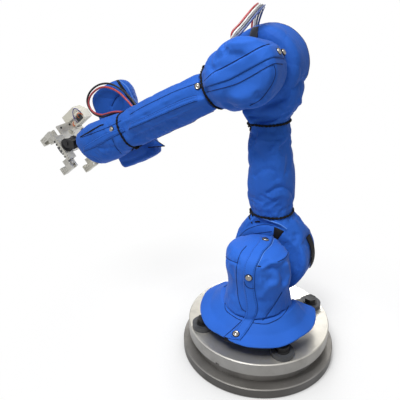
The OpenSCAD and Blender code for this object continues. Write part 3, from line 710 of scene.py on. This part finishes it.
def studs(name, tree, marks, body, radius=0.0074, lift=0):
    """Press studs: dished caps with rolled rims on dark washers, set on the cloth."""
    caps, rims = [], []
    for mark in marks:
        if len(mark) == 3:
            places, ups = onto(tree, [mark, np.array(mark) + (0, 0, 0.003)])
        else:
            places, ups = seen_on(tree, [mark, (mark[0] + 0.3, mark[1])])
        at = places[0] + ups[0] * lift
        caps.append(stud_shape(at, ups[0], radius, STUD))
        rims.append(stud_shape(at, ups[0], radius, WASHER))
    put(name, *joined(caps), CHROME, body)
    put(name + "_rims", *joined(rims), TAPE_AND_SLIT_SHADE, body)


def tie(name, tree, limb, along, body, knot_turn, tails):
    """Drawn cord round a sleeve: two twisted strands, a knot and two short ends."""
    origin, axis, across = limb
    centre, other = origin + along * axis, np.cross(axis, across)
    count, twists, reach = 200, 17, 0.12
    places, outs = [], []
    for k in range(count):
        a = math.tau * k / count
        out = math.cos(a) * across + math.sin(a) * other
        places.append(tree.ray_cast(Vector(centre + out * reach), Vector(-out))[0])
        outs.append(out)
    places, outs = np.array(places), np.array(outs)
    for _ in range(4):
        places = 0.25 * np.roll(places, 1, 0) + 0.5 * places + 0.25 * np.roll(places, -1, 0)
    shapes = []
    for half in (0, math.pi):
        a = math.tau * twists * np.arange(count) / count + half
        shapes.append(tube(places + outs * (0.0022 + 0.0011 * np.cos(a))[:, None]
                           + axis * (0.0017 * np.sin(a))[:, None], 0.0019, 8, True))
    i = int(knot_turn / 360 * count) % count
    at, out = places[i] + outs[i] * 0.0045, outs[i]
    run = np.cross(axis, out)
    t = np.linspace(0, math.tau, 40, endpoint=False)
    loop = at + 0.0026 * (np.outer(np.sin(t) + 2 * np.sin(2 * t), run) + np.outer(np.cos(t) - 2 * np.cos(2 * t), axis)
                          - np.outer(np.sin(3 * t), out))
    shapes.append(tube(loop, 0.0019, 8, True))
    for way, long in tails:
        line = [at]
        for k in range(1, 6):
            hit, up, _, _ = tree.find_nearest(Vector(at + np.array(way) * long * k / 5))
            line.append(np.array(hit) + np.array(up) * (0.0024 + 0.0012 * math.sin(k * 1.7)))
        shapes.append(tube(through(line, 0.002), 0.0017, 8))
    thing = put(name, *joined(shapes), CORD, body)
    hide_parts(name)


# Lower arm: shoulder cover, sleeve and rear elbow cover in one sewn skin
arm_nodes = ("shoulder_cover", "lower_arm_sleeve", "elbow_rear_cover")
arm = cloth_from("arm_jacket", arm_nodes, 0.0048, 6)
p = coords(arm)
height, _ = round_axis(p, *LOWER_ARM)
held = np.maximum.reduce([
    pinch(height - SHOULDER_TIE, 0.012), pinch(height - ELBOW_TIE, 0.012), np.clip(0.6 - height / 0.12, 0, 0.6),
    np.clip((height - 0.48) / 0.1, 0, 0.6)])
drape(arm, held)
p, n = finer(arm)
height, angle = round_axis(p, *LOWER_ARM)
sleeve = ease(height - 0.12, 0.05) * ease(0.4 - height, 0.05)
bend = np.stack([angle * 0.055, height * 0.55, height * 0], axis=1)
move = sleeve * (0.0052 * (ridged(bend, 15, 5) - 0.25) + 0.0044 * noise(bend, 22, 6))
move += gathers(p, height, angle, SHOULDER_TIE, 13, 0.0024, 0.03, 3)
move += gathers(p, height, angle, ELBOW_TIE, 12, 0.002, 0.03, 8)
move += (1 - sleeve) * (0.0026 * noise(p, 10, 1) + 0.0018 * (ridged(p, 12, 2) - 0.4) - 0.0015)
move += 0.0008 * noise(p, 34, 2)
set_coords(arm, p + n * move[:, None])
folds(
    arm,
    ([(268, 193.5), (276, 188.5), (282.4, 187.2), (289, 189.5), (292.7, 193.3), (293.6, 203.6)], -0.005, 0.006),
    ([(272, 199), (281, 194), (288, 197)], 0.003, 0.009),
    ([(272, 151), (278, 145), (284, 140.6)], 0.0034, 0.0085),
    ([(254.7, 176), (262, 170.5), (270.3, 169), (275, 172.5), (277.2, 178.6)], -0.0042, 0.0075),
    ([(256, 152), (263, 160), (262, 168)], -0.003, 0.009),
    ([(261.6, 195.9), (269, 199.5), (275.4, 201)], -0.003, 0.007),
    ([(286, 148), (289, 160), (286, 172)], -0.0028, 0.01),
    ([(255.6, 121.6), (265, 121), (275.4, 119), (289.3, 113)], -0.004, 0.0055),
    ([(258, 113), (272, 111), (287, 105)], 0.0028, 0.009),
    ([(299, 100), (300.5, 106), (299, 110.5)], 0.005, 0.009),
    ([(246, 111.5), (249, 116), (252, 121)], 0.008, 0.012),
    ([(290, 118), (295, 115), (299, 113.5)], -0.004, 0.0055),
    ([(261.6, 217.9), (270.3, 220.9), (279.8, 224.4), (286.7, 229.1)], 0.003, 0.004),
    ([(296, 236), (299, 250), (297, 266)], -0.003, 0.01),
)
arm_tree = finish_cloth(arm, "lower_arm", *arm_nodes)

# Upper arm: front elbow cover with its pocket and flap
elbow = cloth_from("elbow_jacket", ("elbow_front_cover",), 0.0044, 5)
p = coords(elbow)
reach, _ = round_axis(p, *FOREARM)
drape(elbow, np.maximum(pinch(reach - FOREARM_TIE, 0.012), np.clip(-p[:, 1] / 0.03, 0, 0.75)))
p, n = finer(elbow)
reach, turn = round_axis(p, *FOREARM)
move = 0.0024 * noise(p, 12, 4) + 0.0014 * (ridged(p, 14, 5) - 0.4) + 0.0007 * noise(p, 34, 5)
move += gathers(p, reach, turn, FOREARM_TIE, 11, 0.0018, 0.026, 6)
rel = p - ELBOW
top = pinch(np.arctan2(rel[:, 2], rel[:, 0]) - 1.5, 0.62) * ease(0.06 - p[:, 1], 0.075)
p -= rel * (1, 0, 1) * (0.2 * top)[:, None]
set_coords(elbow, p + n * move[:, None])
folds(
    elbow,
    ([(216, 58), (226, 54.5), (240, 55.5)], -0.005, 0.011),
    ([(213, 69), (218, 66)], -0.0032, 0.008),
    ([(219, 49), (228, 44.5), (243, 43), (256, 41)], 0.002, 0.006),
    ([(273, 66), (275, 72), (272.5, 82), (266, 92), (257, 99)], -0.0022, 0.006),
    ([(222, 96), (238, 98), (252, 92)], 0.003, 0.014),
    ([(226, 104), (240, 106.5), (250, 104)], -0.0024, 0.007),
)
elbow_tree = finish_cloth(elbow, "upper_arm", "elbow_front_cover")

# Forearm: boxy sleeve and wrist cover
fore_nodes = ("forearm_sleeve", "wrist_cover")
forearm = cloth_from("forearm_jacket", fore_nodes, 0.0044, 4)
p = coords(forearm)
reach, _ = round_axis(p, *FOREARM)
drape(forearm, np.maximum.reduce([
    pinch(reach - WRIST_TIE, 0.012), ease(0.21 - reach, 0.06), ease(reach - 0.585, 0.02)]),
    0.02, 0.0035)
p, n = finer(forearm)
reach, turn = round_axis(p, *FOREARM)
boot = ease(reach - 0.43, 0.03)
rise = (p - ELBOW) @ FORE_UP
near_end = ease(reach - 0.51, 0.11)
p += np.outer(0.014 * near_end * ease(rise, 0.042), FORE_UP)
p -= np.outer(0.016 * near_end ** 2 * ease(0.025 - rise, 0.05), FORE_DIR)
p -= np.outer(0.008 * near_end ** 2, FORE_DIR)
rim = ease(0.61 - reach, 0.03)
move = 0.0018 * noise(p, 11, 7) + 0.0006 * noise(p, 34, 8)
move += boot * rim * (0.0022 * ridged(p, 13, 9) + 0.0012 * noise(p, 20, 10))
move += gathers(p, reach, turn, WRIST_TIE, 11, 0.0016, 0.022, 9)
move -= 0.0036 * ease(0.33 - reach, 0.05) * ease(-p[:, 1], 0.03)
move -= 0.004 * ease(0.145 - reach, 0.02)
set_coords(forearm, p + n * move[:, None])
folds(
    forearm,
    ([(206.4, 97.8), (184.4, 105.4), (155.7, 117.8), (140.4, 124.5), (130, 129)], 0.004, 0.007),
    ([(207, 108), (186, 116), (160, 127), (138, 137)], -0.005, 0.014),
    ([(198, 78), (174, 87.5), (150, 98), (133, 107)], -0.002, 0.009),
    ([(99, 147.5), (105, 149), (111, 147)], -0.0042, 0.006),
    ([(112.6, 140), (115.5, 147), (121.2, 154)], -0.0022, 0.0045),
    ([(105, 141), (109, 146), (108, 152)], 0.0022, 0.006),
    ([(90, 131), (97, 127), (105, 124)], 0.003, 0.006),
)
fore_tree = finish_cloth(forearm, "forearm", *fore_nodes)

# Wrist drive cover
drive = cloth_from("drive_jacket", ("wrist_drive_cover",), 0.0046, 5)
p = coords(drive)
drape(drive, ease(p[:, 1] + 0.075, 0.014), 0.03, 0.005)
p, n = finer(drive)
move = 0.003 * noise(p, 11, 10) + 0.0016 * ridged(p, 12, 12) + 0.0008 * noise(p, 34, 11)
set_coords(drive, p + n * move[:, None])
folds(
    drive,
    ([(111.7, 106.4), (115.5, 98.7), (119.3, 95.8)], -0.003, 0.005),
    ([(118, 163), (133, 160), (147, 152)], -0.003, 0.008),
)
drive_tree = finish_cloth(drive, "forearm", "wrist_drive_cover")

# Turret cover
TURRET_AT, LID_RADIUS = np.array([-0.005, 0.045, 0]), 0.088
turret = cloth_from("turret_jacket", ("turret_cover",), 0.0046, 5)
p = coords(turret)
drape(turret, ease(0.21 - p[:, 2], 0.02), 0.03, 0.0045)
p, n = finer(turret)
rel = p - TURRET_AT
x, y, z = p.T
lid = np.clip(1 - (norm(rel[:, :2], axis=1) / LID_RADIUS) ** 2, 0, 1)
z += 0.011 * ease(z - 0.33, 0.02) * lid
lean = 0.008 * pinch(z - 0.27, 0.042) * ease(y + 0.03, 0.05)
p[:, :2] += np.outer(lean, (-0.8746, -0.4848))
x -= 0.011 * ease(0.245 - z, 0.05) * ease(0.045 - y, 0.04) * ease(-0.03 - x, 0.03)
x -= 0.012 * ease(0.24 - z, 0.04) * ease(0.06 - y, 0.04) * ease(-0.03 - x, 0.03)
z -= 0.034 * ease(0.225 - z, 0.03) * ease(0.05 - y, 0.04)
move = 0.0028 * noise(p, 10, 12) + 0.0016 * ridged(p, 10, 14) + 0.0008 * noise(p, 32, 13)
set_coords(turret, p + n * move[:, None])
folds(
    turret,
    ([(272, 268), (279, 269.5), (283.5, 275), (284, 282)], -0.008, 0.0105),
    ([(262, 268), (270, 264), (280, 261.5), (288, 253)], 0.005, 0.007),
    ([(286, 264), (288.5, 273), (286, 284)], 0.006, 0.008),
    ([(262, 296), (268, 288), (276, 284)], 0.0036, 0.01),
    ([(224.8, 255.1), (229.4, 259.7), (238, 263.1)], -0.0026, 0.005),
    ([(282.2, 291.8), (275.3, 303.3), (267.2, 314.8)], -0.0022, 0.0045),
    ([(232, 268), (235, 282), (234, 296)], -0.0026, 0.008),
)

# Skirt, lightly waved at its hem
SKIRT_AT, BRIM = np.array([-0.005, 0.02, 0]), 0.148
skirt = cloth_from("skirt_jacket", ("base_skirt",), 0.0026, 4)
p, n = coords(skirt), normals(skirt)
rel = p - SKIRT_AT
turn = np.arctan2(rel[:, 1], rel[:, 0])
out = ease(norm(rel[:, :2], axis=1) - 0.1, 0.065)
x, y, z = p.T
y[:] = np.maximum(y, -0.055 - 0.025 * ease(0.07 - np.abs(x), 0.02))
sunk = ease(-0.005 - y, 0.045)
z[:] = np.where(z > BRIM, BRIM + (z - BRIM) * (1 - 0.85 * sunk), z)
z += out * (0.003 * np.sin(turn * 5 + 0.6) + 0.0018 * np.sin(turn * 9 + 2.0))
set_coords(skirt, p + n * (0.0006 * noise(p, 30, 15))[:, None])
finish_cloth(skirt, "turret", "base_skirt")
finish_cloth(turret, "turret", "turret_cover")
both_tree = tree_of(turret, skirt)

# Drawn cords
tie("shoulder_tie", arm_tree, LOWER_ARM, SHOULDER_TIE, "lower_arm", 25,
    (((-0.5, 0.3, -0.8), 0.034), ((-0.8, 0.3, -0.35), 0.03)))
tie("elbow_tie", arm_tree, LOWER_ARM, ELBOW_TIE, "lower_arm", 42,
    (((-0.3, 0, -0.95), 0.016), ((0.2, 0.1, -0.95), 0.022)))
tie("forearm_tie", elbow_tree, FOREARM, FOREARM_TIE, "upper_arm", 0,
    (((-0.35, 0.25, 0.75), 0.012), ((0.5, -0.6, 0.1), 0.026)))
tie("wrist_tie", fore_tree, FOREARM, WRIST_TIE, "forearm", 196,
    (((0.7, 0.3, -0.6), 0.022), ((0.2, -0.6, -0.7), 0.026)))

# Finish of the CAD nodes that show
for material, nodes in (
        (FLANGE, "pedestal_flange"), (NECK, "pedestal_neck"), (IRON, "robot_base turret_column"),
        (STEEL, "pedestal_plate shoulder_shaft elbow_shaft forearm_spindle"), (TAPE_AND_SLIT_SHADE, "shoulder_gusset"),
        (BLACK, "foot_bolts wrist_stem wrist_knuckle tool_flange"),
        (ALLOY, "cross_bracket front_gripper_body front_upper_jaw front_lower_jaw"),
        (IVORY, "rear_gripper_body rear_upper_jaw rear_lower_jaw")):
    for node in nodes.split():
        NODES[node].data.materials.clear()
        NODES[node].data.materials.append(material)

# Turret: strap down the front, side seam, lid seams, brim seam, studs and the tab under the strap's end
strap_right = [(274.1, 235.6), (270.7, 244.8), (263.8, 251.6), (259.2, 260.8), (255.7, 267.7), (254.6, 274.6),
               (254.6, 288.4), (255.7, 296.4), (257.5, 306.7), (255.7, 315.9), (251.2, 325.1), (244.3, 335.4),
               (239.7, 340.6)]
strap_left = [(262, 240.5), (253.5, 248.2), (248.9, 256.2), (244.8, 264.3), (243.7, 273.5), (243.7, 283.8),
              (245.4, 295.3), (246.6, 306.7), (245.4, 315.9), (239.7, 324), (231.1, 336.6)]
strap = strip("turret_strap", both_tree, strap_left, strap_right, "turret", JACKET, 0.0034, 8)
line_on("strap_end", tree_of(strap), [(244.2, 281.5), (245.4, 285), (248, 287.4), (251, 288.4), (254, 288.2)],
        0.0009, THREAD_AND_SEAM_SHADE, "turret")
line_on("strap_edge", both_tree, [(u + 0.7, v + 0.5) for u, v in strap_right[:5]], 0.0009, EDGE_AND_PAINTED_HIGHLIGHT, "turret")
sewn(
    "turret_seam", both_tree, "turret",
    [(246.6, 245.9), (240.8, 252.8), (237.4, 263.1), (236.2, 274.6), (237.4, 288.4), (238.5, 298.7),
     (242, 309), (246, 311.3)],
    [(224.8, 255.1), (229.4, 259.7), (238, 263.1)],
    [(277.6, 262), (285.6, 257.4), (289, 250.5)],
    [(224.8, 303.3), (225.9, 310.2), (232.8, 315.9), (242, 320.5), (262.6, 324), (271.8, 322.2), (281, 317.1),
     (286.7, 310.2), (288.5, 305.6)],
    [(282.2, 291.8), (275.3, 303.3), (267.2, 314.8), (262.6, 320.5)],
    [(242, 320.5), (233, 329), (223, 337.7)],
)
# Dark band in the turret slot: painted shade of the opening
line_on("turret_slot", both_tree, [(257, 266), (261, 266.4)], 0.0012, TAPE_AND_SLIT_SHADE, "turret")
studs("turret_studs", both_tree, ((265.3, 240.6), (249, 277), (236, 334.5)), "turret", 0.0085, 0.0036)

hem, _ = seen_on(both_tree, [(224.6, 337), (231, 339), (239.4, 340.2)], 1.0)
tab = [hem + step for step in (
    (0, 0, 0.001), (0.001, 0.003, -0.006), (0, 0.001, -0.012), (0, -0.003, -0.011), (0, -0.003, 0))]
put("hem_tab", np.concatenate(tab), quads(len(tab), len(hem)), TAPE_AND_SLIT_SHADE, "turret")

# Shoulder: hook tape, slit, seams, piping and eyelet
strip("shoulder_tape", arm_tree, [(274.7, 227), (273.9, 231), (273.5, 236), (273, 242)],
      [(283.9, 231), (281, 235), (278.7, 237.9), (274.5, 242.5)], "lower_arm", TAPE_AND_SLIT_SHADE, 0.0024, 5, 8, False)
# Dark band under the shoulder flap's edge: painted shade of the slit
line_on("shoulder_slit", arm_tree, [(274.6, 222.2), (281.5, 225.6), (285.4, 227.8)], 0.0012, TAPE_AND_SLIT_SHADE, "lower_arm")
sewn(
    "shoulder_seam", arm_tree, "lower_arm",
    [(236.5, 240), (241, 234.5), (247, 229.5), (258, 225.5), (267, 224.5), (273.5, 226)],
    [(236, 238.5), (246, 235.5), (256, 233.5), (266, 232.2), (272, 231.5)],
    radius=0.0009,
)
# Lighter cord on the shoulder's raised ridge: painted highlight
line_on("shoulder_piping", arm_tree, [(261.6, 217.9), (270.3, 220.9), (279.8, 224.4), (286.7, 229.1)], 0.0018, EDGE_AND_PAINTED_HIGHLIGHT,
        "lower_arm")
line_on("shoulder_eyelet", arm_tree, [(255.4, 221.8), (257.5, 221.3), (260, 221.6)], 0.0016, TAPE_AND_SLIT_SHADE, "lower_arm", 0.0046)

# Elbow: raised flap, seams, studs and the tape patch on the rear cover
line_a = [(204.2, 82.2), (207.8, 78.5), (213.9, 73.4), (221.4, 69.5), (240.5, 59.3), (259.6, 48.5), (269.2, 45.3),
          (276.2, 45.3)]
line_b = [(204.9, 87.4), (209.8, 85.7), (229.2, 79.6), (248.2, 69.5), (267.9, 59.3), (275.6, 57.4), (284, 58.6)]
line_c = [(206.4, 92.2), (213.9, 90.3), (231.3, 85.7), (243.5, 80.6), (262.8, 69.5), (272.4, 64.4), (276.9, 63.5),
          (282.6, 64.4)]
strip("elbow_flap", elbow_tree, line_a, line_b, "upper_arm", JACKET, 0.0026, 8)
sewn(
    "elbow_seam", elbow_tree, "upper_arm", [(u, v - 1.2) for u, v in line_a[:-1]], line_c,
    [(273.7, 65.3), (275.7, 71.4), (273.2, 81.6), (267, 91.8), (259.9, 100), (249.7, 105.6)],
)
studs("elbow_studs", elbow_tree, ((277.8, 52), (282.6, 52.6)), "upper_arm", 0.0074, 0.0028)
strip("dome_patch", arm_tree, [(252, 28.5), (250.4, 33), (249.4, 39)], [(258.5, 27), (258, 32), (257.6, 38)],
      "lower_arm", PATCH, 0.0026, 4, 6, False)

# Forearm: placket, seams and studs
line_1 = [(203, 81), (194, 84.4), (174.8, 91.5), (155.7, 100.6), (141.3, 107.8), (130, 114.5)]
line_2 = [(196.5, 95.2), (184.4, 98.7), (165.3, 107.3), (146.1, 116.9), (130.8, 122.6)]
line_3 = [(197.6, 100.8), (184.4, 105.4), (155.7, 117.8), (140.4, 124.5), (128.9, 129.3)]
strip("forearm_placket", fore_tree, line_2, line_3, "forearm", JACKET, 0.0015, 5)
sewn("forearm_seam", fore_tree, "forearm", line_1)
boot_b = [(122.2, 127.4), (103, 135), (84, 146.5)]
boot_c = [(125, 131.2), (107.8, 139.9), (98.3, 145.6), (84, 151.5)]
strip("boot_placket", fore_tree, boot_b, boot_c, "forearm", JACKET, 0.002, 5)
sewn("boot_seam", fore_tree, "forearm", [(121.2, 120.7), (107.8, 127.4), (82, 137.5)],
     [(112.6, 138.9), (115.5, 146.6), (121.2, 153.3)])
# Dark band along the open edge of the boot's flap: painted shade of the slit
line_on("boot_slit", fore_tree, [(80.5, 137), (90, 131.5), (100.4, 125.4), (103.6, 124.8)], 0.0012, TAPE_AND_SLIT_SHADE, "forearm",
        0.0042)
studs("forearm_studs", fore_tree, ((197.6, 86.2), (111.5, 129.3)), "forearm")

# Wrist drive cover: black collar, light strip and lower flap
line_on("drive_collar", drive_tree, [(114.5, 80), (117.4, 80.5), (121.2, 86.3), (127, 94.9), (134.6, 105.4)], 0.0016,
        TAPE_AND_SLIT_SHADE, "forearm", 0.009)
line_on("drive_strip", drive_tree, [(119.3, 80.5), (127, 87.2), (132.7, 97.8), (136.6, 103.5)], 0.0014, EDGE_AND_PAINTED_HIGHLIGHT,
        "forearm", 0.004)
sewn("drive_seam", drive_tree, "forearm", [(111.7, 106.4), (115.5, 98.7), (119.3, 95.8)], radius=0.0008)

points, _ = seen_on(drive_tree, [(148, 147.5), (150.5, 146.5), (153, 145.5), (154.5, 142.5), (155.5, 140)], 1.0)
tip = np.array(CAM_AT) + np.array(view_ray(165.3, 145.8)) * norm(points[len(points) // 2] - np.array(CAM_AT))
rows = [points + (0, 0.001, 0)] + [points + (tip - points) * f + (0, 0.003 * f, 0) for f in (0.33, 0.66, 0.97)]
rows += [q - (0, 0.002, 0) for q in rows[::-1]]
put("drive_flap", np.concatenate(rows), quads(len(rows), len(points)), JACKET, "forearm")
put("drive_flap_edge", *joined([
    tube(through([points[0], tip + (0, 0.003, 0)], 0.002), 0.0014, 8),
    tube(through([tip + (0, 0.003, 0), points[-1]], 0.002), 0.0014, 8)]), TAPE_AND_SLIT_SHADE, "forearm")


# Far sides: seams, plackets and studs as on the near sides
def ring(centre, across, up, wide, tall, count=48):
    turns = np.linspace(0, math.tau, count)
    return centre + np.outer(np.cos(turns) * wide, across) + np.outer(np.sin(turns) * tall, up)


back = [SHOULDER + h * ARM_DIR - 0.08 * SIDE for h in np.linspace(0.145, 0.375, 12)]
seam_on("arm_back_seam", [
    onto(arm_tree, ring(SHOULDER - 0.09 * SIDE, ARM_X, ARM_DIR, 0.066, 0.066)),
    onto(arm_tree, ring(ELBOW - 0.2 * SIDE, ARM_X, ARM_DIR, 0.068, 0.068)),
    onto(arm_tree, [q - 0.011 * ARM_X for q in back]), onto(arm_tree, [q + 0.011 * ARM_X for q in back]),
    onto(arm_tree, [ELBOW - 0.145 * SIDE + 0.12 * (math.cos(a) * ARM_X + math.sin(a) * ARM_DIR)
                    for a in np.linspace(0.9, 3.6, 16)]),
], "lower_arm")
studs("arm_back_studs", arm_tree, [back[1], back[5], back[-2], SHOULDER - 0.09 * SIDE + 0.05 * ARM_DIR], "lower_arm")
seam_on("forearm_back_seam", [
    onto(fore_tree, [fore(h, up, side) for h in np.linspace(first, last, count)])
    for up, side, first, last, count in (
        (14, -70, 145, 395, 12), (-14, -70, 145, 395, 12), (0, -80, 445, 580, 10), (-70, 0, 145, 395, 12))
], "forearm")
studs("forearm_back_studs", fore_tree, [fore(160, 0, -70), fore(380, 0, -70)], "forearm")
seam_on("drive_back_seam", [
    onto(drive_tree, ring(fore(517, 25, -160), FORE_DIR, FORE_UP, 0.048, 0.098)),
    onto(drive_tree, [fore(607, h, -100) for h in np.linspace(-80, 130, 12)]),
], "forearm")
studs("drive_back_studs", drive_tree, [fore(517, 105, -160), fore(517, -55, -160)], "forearm")
seam_on("turret_back_seam", [onto(both_tree, [(0.1, 0.03, z) for z in np.linspace(0.2, 0.34, 8)])], "turret")

# Tool: screws and slide plates
SCREW = [(0, 0.1), (0.42, 0.1), (0.44, 0.55), (0.86, 0.6), (1, 0.46), (1, -0.4)]


def screws(name, spots, material, body):
    put(name, *joined([stud_shape(at, up, radius, SCREW, 20) for at, up, radius in spots]), material, body)


def slab(at, along, across, up, length, width, thick):
    """Low plate with a bevelled rim, centred on a face."""
    points = []
    for scale, h in ((1, -0.4), (1, 0.55), (0.86, 1)):
        inset = (1 - scale) * min(length, width)
        for a, b in ((-1, -1), (1, -1), (1, 1), (-1, 1)):
            points.append(at + along * a * (length - inset) / 2 + across * b * (width - inset) / 2 + up * thick * h)
    *sides, _, top = ring_faces(3, 4)
    return points, sides + [top]


screws("bracket_screws", [(tool(23.1, d, y), -TOOL_DIR, 0.0034) for d, y in (
    (-60, -22), (-60, -62), (14, -34), (14, -62), (14, -98), (-30, -98))], BLACK, "tool")
screws("body_screws", [(tool(36, d, 23.1), SIDE, 0.0028) for d in (-28, -17, 17, 28)], BLACK, "tool")
put("slide_plates", *joined([
    slab(tool(36, d, 23), TOOL_DIR, TOOL_DOWN, SIDE, 0.011, long, 0.0008) for d, long in ((-2, 0.016), (10, 0.007))
] + [slab(tool(-18, -58, -75), TOOL_DIR, TOOL_DOWN, SIDE, 0.03, 0.02, 0.001)]), IRON, "tool", False)


# Lights, floor and backdrop
def plain_rays(tree):
    """1 for camera, glossy and transmission rays, else 0."""
    path = add(tree, "LightPath").outputs
    seen = maths("MAXIMUM", path["Is Camera Ray"], path["Is Glossy Ray"])
    return maths("MAXIMUM", seen, path["Is Transmission Ray"])


def mixed(factor, first, second, output):
    """Mixes two shaders into a surface."""
    node = add(factor.id_data, "MixShader")
    for source, place in zip((factor, first, second), node.inputs):
        link(source, place)
    link(node.outputs["Shader"], output.inputs["Surface"])


def lamp(name, kind, at, target, power, **values):
    data = bpy.data.lights.new(name, kind)
    data.energy = power
    for key, value in values.items():
        setattr(data, key, value)
    light = bpy.data.objects.new(name, data)
    aim = (Vector(target) - Vector(at)).to_track_quat("-Z", "Y")
    light.matrix_world = Matrix.Translation(at) @ aim.to_matrix().to_4x4()
    bpy.context.collection.objects.link(light)


WHITE = (1, 1, 1, 1)
scene = bpy.context.scene
scene.world = bpy.data.worlds.new("world")
scene.world.use_nodes = True
tree = scene.world.node_tree
soft = tree.nodes["Background"]
feed(soft, {"Color": WHITE, "Strength": 0.22})
white = add(tree, "Background", Color=WHITE, Strength=1)
mixed(plain_rays(tree), soft.outputs["Background"], white.outputs["Background"], tree.nodes["World Output"])

lamp("key", "AREA", (0.25, 0.9, 2.5), (0.1, 0, 0.35), 56, shape="DISK", size=1.4)
lamp("fill", "AREA", (-1.6, 1.3, 1.2), (0, 0, 0.45), 3, shape="DISK", size=1.5)
lamp("back", "AREA", (0.35, -1.1, 0.75), (-0.185, -0.025, 0.1), 6, shape="DISK", size=0.6)
lamp("low", "SPOT", (0.1, 0.9, 1.9), (0, 0.04, 0.24), 95, spot_size=math.radians(24), spot_blend=1.0,
     shadow_soft_size=0.25)

# The floor glows white to the camera, and less near the object, where its shadow lies; near the object the glow itself
# is darkened by ambient occlusion, a painted contact shadow
paper, tree, shader = new_material("pale floor with painted shadow")
feed(shader, {"Base Color": (0.92, 0.92, 0.92, 1), "Roughness": 0.9})
# Ambient occlusion darkens the floor's glow near the object: painted contact shadow
near = add(tree, "AmbientOcclusion", Distance=0.22, samples=8)
glow_with_painted_shadow = add(tree, "Emission", Strength=1)
link(ramp(near.outputs["AO"], (0.3, 0.2), (0.72, 0.7), (0.97, 1.0)), glow_with_painted_shadow.inputs["Color"])
far = add(tree, "VectorMath", operation="LENGTH")
link(add(tree, "TexCoord").outputs["Object"], far.inputs["Vector"])
share = maths("MULTIPLY", plain_rays(tree), ramp(far.outputs["Value"], (0.2, 0.55), (0.75, 1.0)))
mixed(share, shader.outputs["BSDF"], glow_with_painted_shadow.outputs["Emission"], tree.nodes["Material Output"])
put("floor", [(-6, -6, 0), (6, -6, 0), (6, 6, 0), (-6, 6, 0)], [[0, 1, 2, 3]], paper, None)

scene.view_settings.view_transform = "Standard"
